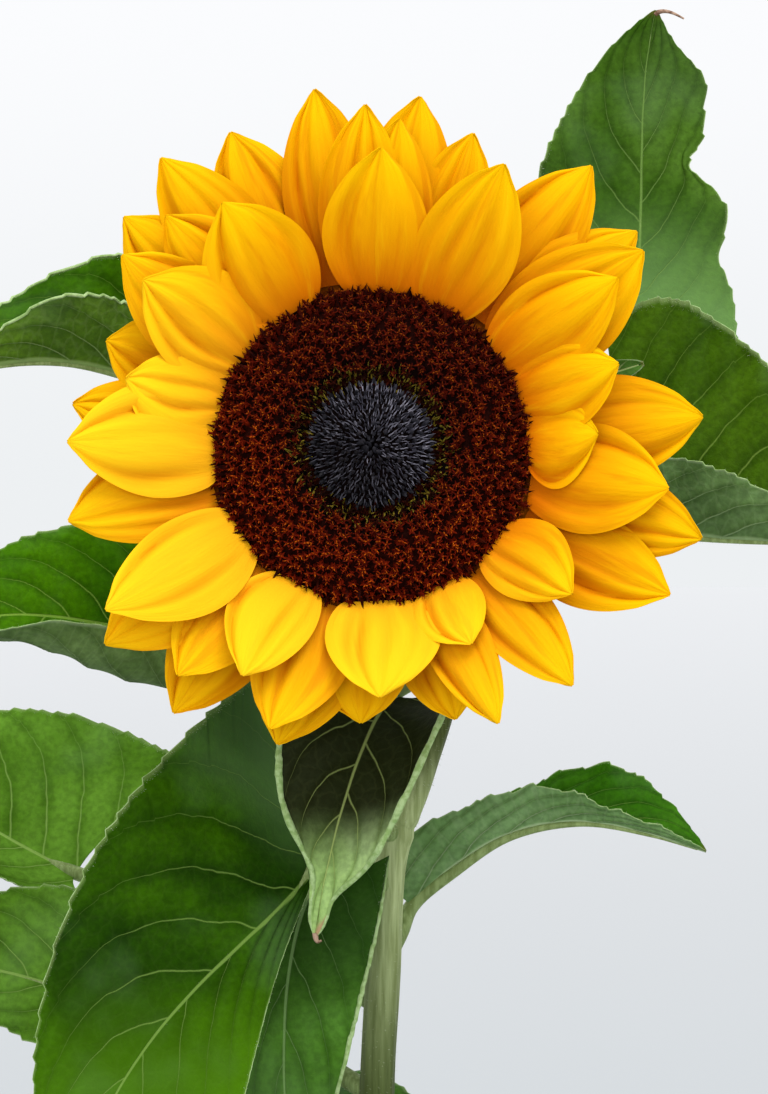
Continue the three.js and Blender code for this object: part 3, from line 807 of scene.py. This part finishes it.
def addPoint(shape, leaf, curve):
    # The blade's tip runs out into a thin dry point that bends over.
    end = np.array([[1.0]])
    share = np.linspace(0, 1, pointDetail["rows"])[:, None]
    rise = ribTangent(curve, end) * np.sin(math.pi * share) * pointDetail["arch"]
    centres = ribPoint(curve, end - 0.012) + rise + share**1.4 * np.array(leaf["point"], float)
    addTube(shape, centres, blend(*pointDetail["radii"], share[:, 0]), pointDetail["sides"], 4,
            (0.01, 0.002, 0.3, 0.006), across=leaf["face"])


stalkDetail = {
    "thick": 2.6,  # radius where it leaves the stem
    "thinner": 0.3,  # from one of its points to the next
    "midrib": ((0.12, 1.4), (0.3, 1.0), (0.55, 0.7), (0.8, 0.42), (0.97, 0.2)),
    "rows": 90,
    "sides": 12,
    "hairs": 0.5,
}


def addStalk(shape, leaf, curve):
    # The stalk climbs to the blade and goes on under it as the midrib, thinner and thinner.
    stalk = [np.array(p, float) for p in leaf["stalk"]]
    radii = [stalkDetail["thick"] - stalkDetail["thinner"] * i for i in range(len(stalk))]
    base = np.array(leaf["rib"][0], float)
    stalk += [blend(stalk[-1], base, np.array([0.55, 0.55, 0.45])), base]
    radii += [2.0, 1.9]
    for s, radius in stalkDetail["midrib"]:
        share = np.array([[s]])
        _, face, _ = leafFrame(leaf, curve, share)
        stalk.append((ribPoint(curve, share) - face * (radius * 0.75))[0])
        radii.append(radius)
    path = [(*p, r) for p, r in zip(stalk, radii)]
    chord = unit(stalk[-1] - stalk[0])
    addTube(shape, *limbLine(path, stalkDetail["rows"]), stalkDetail["sides"], 2,
            (0.01, 0.01, 0.98, 0.03), stalkDetail["hairs"],
            (0, 1, 0) if abs(chord[1]) < 0.8 else (1, 0, 0))


print("leaves")
stalkSkin = limbMaterial("leafStalkHairy", "#94a76c", "#748850", (60, 330))
# Margin felted with short hairs, which makes a pale dull line, and a dry reddish brown tip.
hemWool = grainMaterial("leafMarginWoolly", "#84a060", "#a4bc84", 1.5, 0.85)
pointSkin = grainMaterial("leafPointDryReddish", "#6c5040", "#a88c78", 1.5, 0.8)
allLeaves = {**leaves, **{name: stemLeaf(*row) for name, row in stemLeaves.items()}}
leafPieces = [buildLeaf(name, row, 1.7 * i) for i, (name, row) in enumerate(allLeaves.items())]

# Flower head, in its own frame: +Z out of the disc, +Y up

head = {
    "centre": (-3, -48, 400),
    "tilt": 6,
    "dishRadius": 40.3,
    "dishTop": -4.4,
}
headPlace = (
    Matrix.Translation(Vector(head["centre"]) * mm)
    @ Matrix.Rotation(math.radians(90 - head["tilt"]), 4, "X")
)

# The middle and back whorls are darker copies of the front's colours: painted shade, as they lie
# deeper.
# A whorl's rays start so far out and so high, with their slopes at the root and at the tip in
# degrees, and cup is how far their sides come forward.
whorls = {  # look: claw, blade, tip, veins, between them, how much painted light lies on the lower left
    "rays_front": {
        "start": 36.0, "height": 0.8, "slope": 46, "tipSlope": 8, "cup": -1.9,
        "look": ("#cc6800", "#de9600", "#eab200", "#c46600", "#f6c60a", 0.54),
        "rays": [  # direction in degrees from straight up, reach and width
            (2, 66.4, 20.8), (26, 69.2, 20.0), (57, 66.8, 19.3), (73, 58.9, 18.7),
            (88, 51.8, 19.0), (128, 57.5, 16.5), (154, 51.8, 15.1), (178, 58.8, 22.2),
            (208, 61.2, 17.2), (236, 71.1, 19.4), (269, 68.4, 22.4), (284, 57.4, 19.8),
            (305, 63.2, 21.7), (328, 63.7, 23.1),
        ],
    },
    "rays_middle": {
        "start": 37.6, "height": -1.1, "slope": 36, "tipSlope": -3, "cup": -1.6,
        "look": ("#c26000", "#d88e00", "#e8ae00", "#bc5c00", "#f4c408", 0.14),
        "rays": [
            (5, 74.8, 17.2), (55, 76.1, 22.4), (99, 68.7, 22.0), (141, 72.1, 15.0),
            (156, 70.6, 12.7), (199, 69.5, 19.1), (219, 69.1, 18.3), (232, 75.9, 19.1),
            (255, 71.1, 18.4), (307, 71.4, 18.6), (318, 70.5, 18.6), (359, 77.6, 17.2),
        ],
    },
    "rays_back": {
        "start": 39.1, "height": -3.0, "slope": 24, "tipSlope": -9, "cup": -1.3,
        "look": ("#bc5a00", "#d48a00", "#e6ac00", "#b85800", "#f0be04", 0.06),
        "rays": [
            (8, 82.4, 19.3), (18, 76.8, 16.5), (38, 83.0, 19.7), (51, 79.1, 18.8),
            (85, 76.7, 20.8), (106, 78.8, 18.5), (117, 76.6, 19.4), (163, 66.0, 17.5),
            (182, 64.0, 20.7), (197, 72.1, 19.3), (216, 76.3, 19.3), (278, 69.4, 16.3),
            (292, 66.0, 19.7), (313, 78.3, 19.7), (324, 82.8, 19.7), (336, 80.4, 20.7),
            (351, 84.2, 18.4),
        ],
    },
}
rayDetail = {
    "rows": 38,
    "columns": 30,
    "thickness": 0.42,
    "grooves": 5,
    "grooveDepth": 1.8,
    "edgeWave": 0.8,
    "bow": 1.3,  # how far a ray bends sideways
    "twist": 6,  # degrees
    "claw": 0.66,  # width at the root as a share of the whole
    "beak": 0.2,  # how much narrower it gets before its tip
    "grooveWidth": 0.12,
    "lowerLift": 7,
}


def onClock(angle, out, side, lift):
    # A point of the head so far out along a direction that turns from straight up.
    return stacked(out * math.sin(angle) - side * math.cos(angle),
                   out * math.cos(angle) + side * math.sin(angle), lift)


def rayMiddle(whorl, ray, index, s, t):
    clock, reach, width = ray
    low = max(0.0, -math.cos(math.radians(clock))) * rayDetail["lowerLift"]
    first = math.radians(whorl["slope"] + low + 2 * math.sin(index * 2.4))
    last = math.radians(whorl["tipSlope"] + low)
    run = (reach - whorl["start"]) * (last - first) / (math.sin(last) - math.sin(first))
    twist = math.radians(rayDetail["twist"] * math.sin(index * 1.7 + 1))
    slope = blend(first, last, s)
    out = whorl["start"] + run * (np.sin(slope) - math.sin(first)) / (last - first)
    rise = whorl["height"] + run * (math.cos(first) - np.cos(slope)) / (last - first)
    oval = np.maximum(np.sin(math.pi * s**1.1), 0) ** 0.74
    half = 0.5 * width * (rayDetail["claw"] * (1 - s)**2.1 + oval) + 0.25
    beak = 1 - rayDetail["beak"] * smooth(0.86, 0.97, s) * (1 - smooth(0.97, 1.0, s))
    lift = rise + t * half * math.sin(twist) * s + whorl["cup"] * t * t * np.sin(math.pi * s)
    swell = np.sin(math.pi * np.clip(s * 1.02, 0, 1)) ** 0.7
    crease = 0 * t
    for groove in range(rayDetail["grooves"]):
        place = 0.8 * math.sin(index * 3.7 + groove * 2.3) + 0.06 * np.sin(s * 5 + index)
        narrow = rayDetail["grooveWidth"] * (1 + 0.25 * math.sin(index * 5.1 + groove * 1.9))
        depth = 0.6 + 0.4 * math.sin(index * 4.1 + groove * 2.7)
        dip = depth * swell * np.exp(-((t - place) / narrow)**2)
        lift = lift - rayDetail["grooveDepth"] * dip
        crease = np.maximum(crease, dip**2)
    wave = np.sin(s * 7 + index * 1.3 + np.sign(t)) * t**4 * s
    bow = rayDetail["bow"] * math.sin(index * 2.9 + 0.5) * np.sin(math.pi * s)
    side = t * half * beak * math.cos(twist) + bow
    return onClock(math.radians(clock), out, side, lift + rayDetail["edgeWave"] * wave), crease


def buildWhorl(name, whorl):
    s, t, thickness = bladeGrid(rayDetail)
    shape = Shape()
    cells = math.ceil(math.sqrt(2 * len(whorl["rays"])))
    for index, ray in enumerate(whorl["rays"]):
        middle, crease = rayMiddle(whorl, ray, index, s, t)
        marks = (s, crease, 6 * t + 40 * index)  # the last sets each ray's own veins apart
        addBlade(shape, middle, s, t, marks, thickness, (0, 0), mapCells(index, cells, cells))
    material = rayMaterial(name.replace("rays_", "rayPetalVelvet").title(), whorl["look"])
    dress(shape.build(name + "_grown", [material], headPlace), "rays", name)


print("rays")
for whorlName, whorlRow in whorls.items():
    buildWhorl(whorlName, whorlRow)

# Receptacle and bracts

bracts = {
    "count": 15,
    "width": 13,
    "layers": ((62, 0.0, -5), (54, 0.5, -14)),  # reach, turn in steps, lean in degrees
    "uneven": 5,  # some are this much longer, others shorter
    "thickness": 0.8,
    "rows": 26,
    "columns": 10,
    "upper": ("#3f6a1c", "#5b8430", "#a3b878", "#b9c8a0"),
}
dish = {
    "profile": [
        (0, -22.2), (6.5, -22.2), (9, -21), (13, -19.2), (17, -17), (23, -14.4),
        (29, -11.5), (33, -9.7), (37, -7.8), (39.6, -6.6), (40.3, -5.8), (40.3, -4.4),
        (38, -3.6), (30, -3.6), (0, -3.6),
    ],
    # a thin dark cap over the dish: painted shade between the rays' roots
    "top": [(0, -3.7), (39.9, -3.7), (39.9, -3.4), (0, -3.4)],
    "sides": 120,
    "ribs": 45,
    "ribDepth": 0.25,
}


def bractMiddle(index, layer, s, t):
    reach, turn, lean = layer
    reach = reach + bracts["uneven"] * math.sin(index / 2)
    angle = (index + turn) / bracts["count"] * 2 * math.pi
    slope = math.radians(lean + 3 * math.sin(index * 2.1))
    out = blend(head["dishRadius"] - 5, reach, s)
    half = 0.5 * bracts["width"] * (1 - s) ** 0.7 * (0.75 + 0.5 * s) + 0.3
    lift = head["dishTop"] - 2.2 + (out - head["dishRadius"]) * math.tan(slope)
    lift = lift + 0.6 * t * t + 0.5 * np.sin(6 * s + index)
    return onClock(angle, out, t * half, lift), t * half


def dishRelief(radius, angle):
    return dish["ribDepth"] * np.sin(radius * 3 / 40) * np.cos(dish["ribs"] * angle)


def buildReceptacle():
    shape = Shape()
    addTurned(shape, dish["profile"], dish["sides"], 2, (0.01, 0.01, 0.98, 0.18), dishRelief)
    addTurned(shape, dish["top"], dish["sides"], 3, (0.01, 0.195, 0.98, 0.02))
    s, t, thickness = bladeGrid(bracts)
    for number in range(2 * bracts["count"]):
        layer, index = divmod(number, bracts["count"])
        middle, side = bractMiddle(index, bracts["layers"][layer], s, t)
        boxes = mapCells(number, 10, 6, 0.22)
        addBlade(shape, middle, s, t, (s, t, side), thickness, (0, 1), boxes)
    look = {**leafLook, "upper": bracts["upper"], "under": bracts["upper"],
            "veins": 2.0, "sweep": 0.1, "curl": 0.0}
    skins = [*leafMaterials("bract", look, 26.0),
             limbMaterial("receptacleFelted", "#6d8c45", "#5c7d33", (350, 420)),
             # painted shade: a dark brown sheet that shows only between the roots of the rays
             grainMaterial("receptacleTopScaly", "#5e2c02", "#8c4a04", 2.0, 0.9)]
    dress(shape.build("receptacle_grown", skins, headPlace), "bracts", "receptacle")


print("receptacle")
buildReceptacle()

# Disc: a dark dome with a spiral of florets, and a knob of closed buds in its middle

disc = {  # radii of the zones of the disc
    "knob": 14.0,
    "olive": 18.0,
    "open": 18.2,
    "spikes": 32.4,
    "rim": 36.0,
}
domeProfile = [
    (0, -4.1), (30, -4.1), (36.2, -4.0), (36.6, -2.4), (35.6, -0.4), (33, 1.6), (28, 3.0),
    (22, 3.0), (17, 1.5), (14.9, 0.2), (14.2, 0.6), (12.4, 3.2), (8.5, 4.9), (3.5, 5.6),
    (1.2, 4.7), (0, 4.3),
]


def tinyPart(rings, sides, tip=None, lean=0.0, turn=0.0, tilt=0.0, shift=(0, 0, 0)):
    # A small body from rings of radius and height, flat or pointed, then turned and moved.
    points = []
    for radius, height in rings:
        for angle in (2 * math.pi * i / sides for i in range(sides)):
            points.append((radius * math.cos(angle) + lean * height * height,
                           radius * math.sin(angle), height))
    faces = [tuple(reversed(range(sides)))]
    for a in range(0, (len(rings) - 1) * sides, sides):
        faces += [(a + i, a + (i + 1) % sides, a + sides + (i + 1) % sides, a + sides + i)
                  for i in range(sides)]
    top = range(len(points) - sides, len(points))
    if tip is None:
        faces.append(tuple(top))
    else:
        points.append((lean * tip * tip, 0, tip))
        faces += [(top[i], top[(i + 1) % sides], top[-1] + 1) for i in range(sides)]
    rotation = Matrix.Rotation(turn, 3, "Z") @ Matrix.Rotation(tilt, 3, "Y")
    return [rotation @ Vector(p) + Vector(shift) for p in points], faces


def joinParts(name, parts):
    points, faces = [], []
    for partPoints, partFaces in parts:
        faces += [tuple(i + len(points) for i in face) for face in partFaces]
        points += partPoints
    mesh = bpy.data.meshes.new(name)
    mesh.from_pydata([p * mm for p in points], [], faces)
    return addObject(name, mesh)


lobeTurns = [math.radians(72 * i) for i in range(5)]
tinyShapes = {
    "openFloret": [
        tinyPart([(0.42, 0), (0.62, 1.3), (0.5, 2.1)], 5),
        tinyPart([(0.3, 1.6), (0.34, 2.9)], 5, 3.5),
        *(tinyPart([(0.26, 0), (0.2, 0.6)], 3, 1.15, 0.0, turn, math.radians(58),
                   (0.42 * math.cos(turn), 0.42 * math.sin(turn), 1.9)) for turn in lobeTurns),
    ],
    "floretStyle": [
        tinyPart([(0.17, 0), (0.13, 0.45)], 4, 0.85, 0.6, turn, 0.25, (x, 0, 3.0))
        for turn, x in ((0.3, 0.1), (0.3 + math.pi, -0.1))
    ],
    "closedBud": [tinyPart([(0.3, 0), (0.56, 0.9), (0.52, 1.6), (0.3, 2.2)], 6, 2.6)],
    "budPoint": [tinyPart([(0.19, 0), (0.17, 1.0)], 4, 2.3, 0.12)],
    "rimPoint": [tinyPart([(0.5, 0), (0.62, 1.6), (0.4, 3.2)], 4, 5.2, 0.035)],
    "bristle": [tinyPart([(0.055, 0), (0.04, 0.5)], 3, 1.0, 0.25)],
}


def newTree(name, **inputs):
    # A tree of nodes on a geometry, with these inputs: for each kind of value, their labels.
    tree = bpy.data.node_groups.new(name, "GeometryNodeTree")
    for way in ("INPUT", "OUTPUT"):
        tree.interface.new_socket("Geometry", in_out=way, socket_type="NodeSocketGeometry")
    for kind, labels in inputs.items():
        for label in labels.split():
            tree.interface.new_socket(label, in_out="INPUT", socket_type="NodeSocket" + kind)
    add = partial(addNode, tree)
    return tree, add, add("NodeGroupInput", output=None)


def sowShapes(add, given, points, rotation, scale):
    shape = add("GeometryNodeObjectInfo", {"Object": given["Shape"]}, "Geometry")
    sown = add("GeometryNodeInstanceOnPoints", {
        "Points": points, "Instance": shape, "Rotation": rotation, "Scale": scale})
    real = add("GeometryNodeRealizeInstances", (sown,))
    worn = add("GeometryNodeSetMaterial", {"Geometry": real, "Material": given["Material"]})
    add("NodeGroupOutput", (worn,), None)


def standing(add, normal, pushes):
    # The turn that stands a shape along a normal, pushed over by each vector so much.
    for way, amount in pushes:
        push = add("VectorMath SCALE", {0: way, "Scale": amount})
        normal = add("VectorMath ADD", (normal, push))
    return add("FunctionNodeAlignRotationToVector", {"Vector": normal}, axis="Z")


def sizeOf(add, given, low, high, later, label):
    # A size that varies from low to high, from a draw of its own.
    seed = add("Math ADD", (given["Seed"], later))
    vary = add("FunctionNodeRandomValue", {2: low, 3: high, "Seed": seed}, 1,
               data_type="FLOAT")
    return add("Math MULTIPLY", (vary, given[label]))


def spiralTree():
    # Florets on the golden angle, dropped on to the dome and turned to stand out of it.
    tree, add, given = newTree(
        "floretSpiral", Int="First Count Seed", Float="Spacing Size Lean Spread",
        Object="Shape Dome", Material="Material")
    points = add("GeometryNodePoints", {"Count": given["Count"]})
    number = add("Math ADD", (add("GeometryNodeInputIndex"), given["First"]))
    root = add("Math SQRT", (number,))
    radius = add("Math MULTIPLY", (root, given["Spacing"]))
    angle = add("Math MULTIPLY", (number, math.pi * (3 - math.sqrt(5))))
    flat = add("CombineXYZ", [
        add("Math MULTIPLY", (radius, add("Math " + way, (angle,))))
        for way in ("COSINE", "SINE")])
    shake = add("FunctionNodeRandomValue", {0: (-1, -1, 0), 1: (1, 1, 0),
                                            "Seed": given["Seed"]}, data_type="FLOAT_VECTOR")
    moved = add("VectorMath MULTIPLY_ADD", (shake, (0.25 * mm, 0.25 * mm, 0), flat))
    high = add("VectorMath ADD", (moved, (0, 0, 0.05)))
    dome = add("GeometryNodeObjectInfo", {"Object": given["Dome"]}, "Geometry")
    hit = add("GeometryNodeRaycast", {
        "Target Geometry": dome, "Source Position": high, "Ray Direction": (0, 0, -1),
        "Ray Length": 0.2}, None)
    placed = add("GeometryNodeSetPosition", {"Geometry": points,
                                             "Position": hit["Hit Position"]})
    outward = add("VectorMath NORMALIZE", (flat,))
    facing = standing(add, hit["Hit Normal"], ((outward, given["Lean"]),
                                               (shake, given["Spread"])))
    turn = add("FunctionNodeRandomValue", {2: 0.0, 3: 6.283, "Seed": given["Seed"]}, 1,
               data_type="FLOAT")
    twist = add("FunctionNodeAxisAngleToRotation", {"Axis": (0, 0, 1), "Angle": turn})
    rotation = add("FunctionNodeRotateRotation", (facing, twist), rotation_space="LOCAL")
    sowShapes(add, given, placed, rotation, sizeOf(add, given, 0.7, 1.2, 5.0, "Size"))
    return tree


def hairTree():
    # Stiff hairs over a skin, as thick as its hair attribute says in hairs a square millimetre.
    tree, add, given = newTree("skinHairs", Int="Seed", Float="Length Spread",
                               Object="Shape", Material="Material")
    cover = add("GeometryNodeInputNamedAttribute", {"Name": "hair"}, data_type="FLOAT")
    density = add("Math MULTIPLY", (cover, 1 / mm**2))
    roots = add("GeometryNodeDistributePointsOnFaces", {
        "Mesh": given["Geometry"], "Density": density, "Seed": given["Seed"]}, None)
    shake = add("FunctionNodeRandomValue", {0: (-1, -1, -1), 1: (1, 1, 1),
                                            "Seed": given["Seed"]}, data_type="FLOAT_VECTOR")
    facing = standing(add, roots["Normal"], ((shake, given["Spread"]),))
    sowShapes(add, given, roots["Points"], facing,
              sizeOf(add, given, 0.45, 1.0, 3.0, "Length"))
    return tree


def grow(name, carrierMesh, tree, values, turn=None):
    # Runs a tree on a throwaway carrier and keeps the result as a plain mesh.
    carrier = addObject(name + "Carrier", carrierMesh)
    modifier = carrier.modifiers.new("grow", "NODES")
    modifier.node_group = tree
    for item in tree.interface.items_tree:
        if item.in_out == "INPUT" and item.name in values:
            modifier[item.identifier] = values[item.name]
    bpy.context.view_layer.update()
    grown = carrier.evaluated_get(bpy.context.evaluated_depsgraph_get())
    mesh = bpy.data.meshes.new_from_object(grown)
    bpy.data.objects.remove(carrier)
    mesh.name = name
    if turn is not None:
        mesh.transform(turn)
    return addObject(name, mesh)


print("disc")
# painted shade: darker towards the disc's top and near the knob, the knob darker on its lower
# left
ringPaintedShade = (0.3, 380, 430, 0.4, 0.42)
knobPaintedShade = (0.8, 410, 386, 0.62, 0.0)
grains = {  # name, dark and light colours, grain, roughness, shine, and its painted shade
    "base": ("discBaseDark", "#1a0402", "#2a0a04", 1.2, 0.9, 0.04, (0.3, 380, 430, 0.3, 0.9)),
    "tube": ("floretTubeWaxyMaroon", "#3e0902", "#6c1a05", 1.4, 0.6, 0.04, ringPaintedShade),
    "style": ("floretStyleDownyOrange", "#7a2c02", "#aa520a", 1.8, 0.8, 0.04, ringPaintedShade),
    "ringTube": ("ringFloretWaxyDark", "#150502", "#2c0a03", 1.4, 0.6),
    "ringTip": ("ringFloretDownyOlive", "#4c4008", "#94802c", 1.6, 0.85),
    "bud": ("closedBudWaxyBlueBlack", "#1c1b20", "#323138", 2.0, 0.55, 0.12, knobPaintedShade),
    "budPoint": ("budPointDownyGrey", "#464450", "#8e8b98", 2.4, 0.9, 0.1, knobPaintedShade),
    "rimPoint": ("rimPointDryMaroon", "#1a0402", "#3c0e04", 1.6, 0.7),
}
# What they give the eye: a near black ground, waxy maroon tubes with a dull gloss and downy
# orange styles over it; round the knob, darker tubes with olive tips; on the knob, packed
# waxy buds, blue-black with a faint sheen, and grey down; at the rim, dry dark points.
# Painted shade darkens the ground, tubes and styles towards the disc's top and near the knob,
# and the knob's buds and down on its lower left.
skins = {label: grainMaterial(*row) for label, row in grains.items()}
domeShape = Shape()
addTurned(domeShape, domeProfile, 96, 0, (0.01, 0.01, 0.98, 0.98))
flatDome = domeShape.build("domeShape", [skins["base"]])
dress(domeShape.build("discBase", [skins["base"]], headPlace), "disc", "disc_florets")
floretSpiral = spiralTree()
sowings = {  # shape, skin, slot, inner and outer radius, spacing, size, lean, spread, seed
    "openFlorets": ("openFloret", "tube", "disc", disc["open"], disc["rim"],
                    0.84, 0.88, 0.1, 0.3, 11),
    "floretStyles": ("floretStyle", "style", "disc", disc["open"], disc["rim"],
                     0.84, 0.88, 0.1, 0.3, 11),
    "ringFlorets": ("openFloret", "ringTube", "disc", disc["knob"], disc["open"],
                    0.84, 0.85, 0.1, 0.3, 13),
    "oliveStreaks": ("budPoint", "ringTip", "disc_buds", disc["knob"] - 0.6, disc["olive"],
                     0.7, 1.35, 1.0, 0.4, 17),
    "closedBuds": ("closedBud", "bud", "disc_buds", 1.0, disc["knob"],
                   0.8, 0.85, -0.2, 0.15, 23),
    "budPoints": ("budPoint", "budPoint", "disc_buds", 1.0, disc["knob"] + 0.3,
                  0.55, 0.85, 1.4, 0.4, 29),
    "palePoints": ("rimPoint", "rimPoint", "disc", disc["spikes"], disc["rim"],
                   1.0, 0.75, 0.9, 0.5, 31),
}
for name, (part, skin, slot, inner, outer, spacing, size, lean, spread, seed) in sowings.items():
    seedling = joinParts(part + "Shape", tinyShapes[part])
    first = round((inner / spacing)**2)
    piece = grow(name, bpy.data.meshes.new(name + "Carrier"), floretSpiral, {
        "First": first, "Count": round((outer / spacing)**2) - first,
        "Spacing": spacing * mm, "Size": size, "Lean": lean, "Spread": spread, "Seed": seed,
        "Shape": seedling, "Dome": flatDome, "Material": skins[skin]}, headPlace)
    bpy.data.objects.remove(seedling)
    dress(piece, slot, "disc_centre" if name == "closedBuds" else None)
bpy.data.objects.remove(flatDome)

print("hairs")
shownLeaves = 10  # those in the photograph, which come first, have hairs
skinHairs = hairTree()
bristle = joinParts("hairShape", tinyShapes["bristle"])
# Stiff clear hairs: drawn pale and opaque, and a little thicker than life, so that they show.
hairSkin = grainMaterial("hairTranslucentPale", "#a9b092", "#c9cfb8", 3.0, 0.7)
hairRows = [  # name, the piece they grow on, length, spread, seed, slot
    ("stemHairs", stemPiece, 0.8, 0.45, 3, "stem"),
    ("neckHairs", neckPiece, 1.0, 0.45, 5, "stem"),
    *((leaf.name.replace("_grown", "_hairs"), leaf, 0.6, 0.6, 9, "leaves")
      for leaf in leafPieces[:shownLeaves]),
]
for name, skin, length, spread, seed, slot in hairRows:
    dress(grow(name, skin.data.copy(), skinHairs, {
        "Length": length, "Spread": spread, "Seed": seed, "Shape": bristle,
        "Material": hairSkin}), slot)
bpy.data.objects.remove(bristle)

# Studio: pale floor, pale soft surround, one large soft lamp and a weak filling one

studio = {
    "floorRadius": 30.0,
    "floorSides": 96,
    "floorNear": "#cfd3d5",
    "floorFar": "#f4f5f6",
    "nearReach": 2.24,  # metres from a place before the plant within which the floor is darker
    "horizon": "#edf0f2",
    "zenith": "#fbfcfe",
    "lamps": [  # power in watts, size and place in metres
        (17.5, 0.9, (0.3, -0.74, 1.65)),
        (4.2, 0.8, (-0.35, -1.35, 0.6)),
    ],
}
print("studio")


def buildFloor():
    turns = [2 * math.pi * i / studio["floorSides"] for i in range(studio["floorSides"])]
    mesh = bpy.data.meshes.new("floor")
    mesh.from_pydata([(studio["floorRadius"] * math.cos(turn),
                       studio["floorRadius"] * math.sin(turn), 0.0) for turn in turns],
                     [], [tuple(range(len(turns)))])
    material, add = newMaterial("floorMattePaint", 0.9, 0.0, 1.5)  # no shine, paler far off
    away = add("VectorMath DISTANCE", (add("TexCoord", output="Object"), (0, -0.8, 0)), "Value")
    share = add("Math DIVIDE", (studio["nearReach"], away))
    share = add("Math MINIMUM", (share, 1.0))
    mesh.materials.append(finishSkin(
        material, layered(add, studio["floorFar"], [(share, studio["floorNear"])])))
    addObject("floor", mesh)


def buildSurround():
    world = bpy.data.worlds.new("studioSurround")
    bpy.context.scene.world = world
    world.use_nodes = True
    add = partial(addNode, world.node_tree)
    up = add("SeparateXYZ", (add("TexCoord", output="Generated"),), 2)
    colour = layered(add, studio["horizon"],
                     [(add("MapRange", (up, 0.0, 0.17)), studio["zenith"])])
    world.node_tree.links.new(colour, world.node_tree.nodes["Background"].inputs["Color"])


def buildLamp(power, size, place):
    light = bpy.data.lights.new("softbox", "AREA")
    light.shape = "SQUARE"
    light.size = size
    light.energy = power
    lamp = addObject("softbox", light)
    lamp.location = place
    aim = Vector(head["centre"]) * mm - Vector(place)
    lamp.rotation_euler = aim.to_track_quat("-Z", "Y").to_euler()


def buildCamera():
    data = bpy.data.cameras.new("camera")
    data.sensor_width = 36
    data.lens = 36 * photo["headDistance"] / (photo["height"] * photo["mmPerPixel"])
    camera = addObject("camera", data)
    camera.location = (0, (photo["headPlane"] - photo["headDistance"]) * mm,
                       photo["eyeHeight"] * mm)
    camera.rotation_euler = (math.radians(90), 0, 0)
    bpy.context.scene.camera = camera


buildFloor()
buildSurround()
for lampRow in studio["lamps"]:
    buildLamp(*lampRow)
buildCamera()
bpy.context.scene.view_settings.view_transform = "Standard"
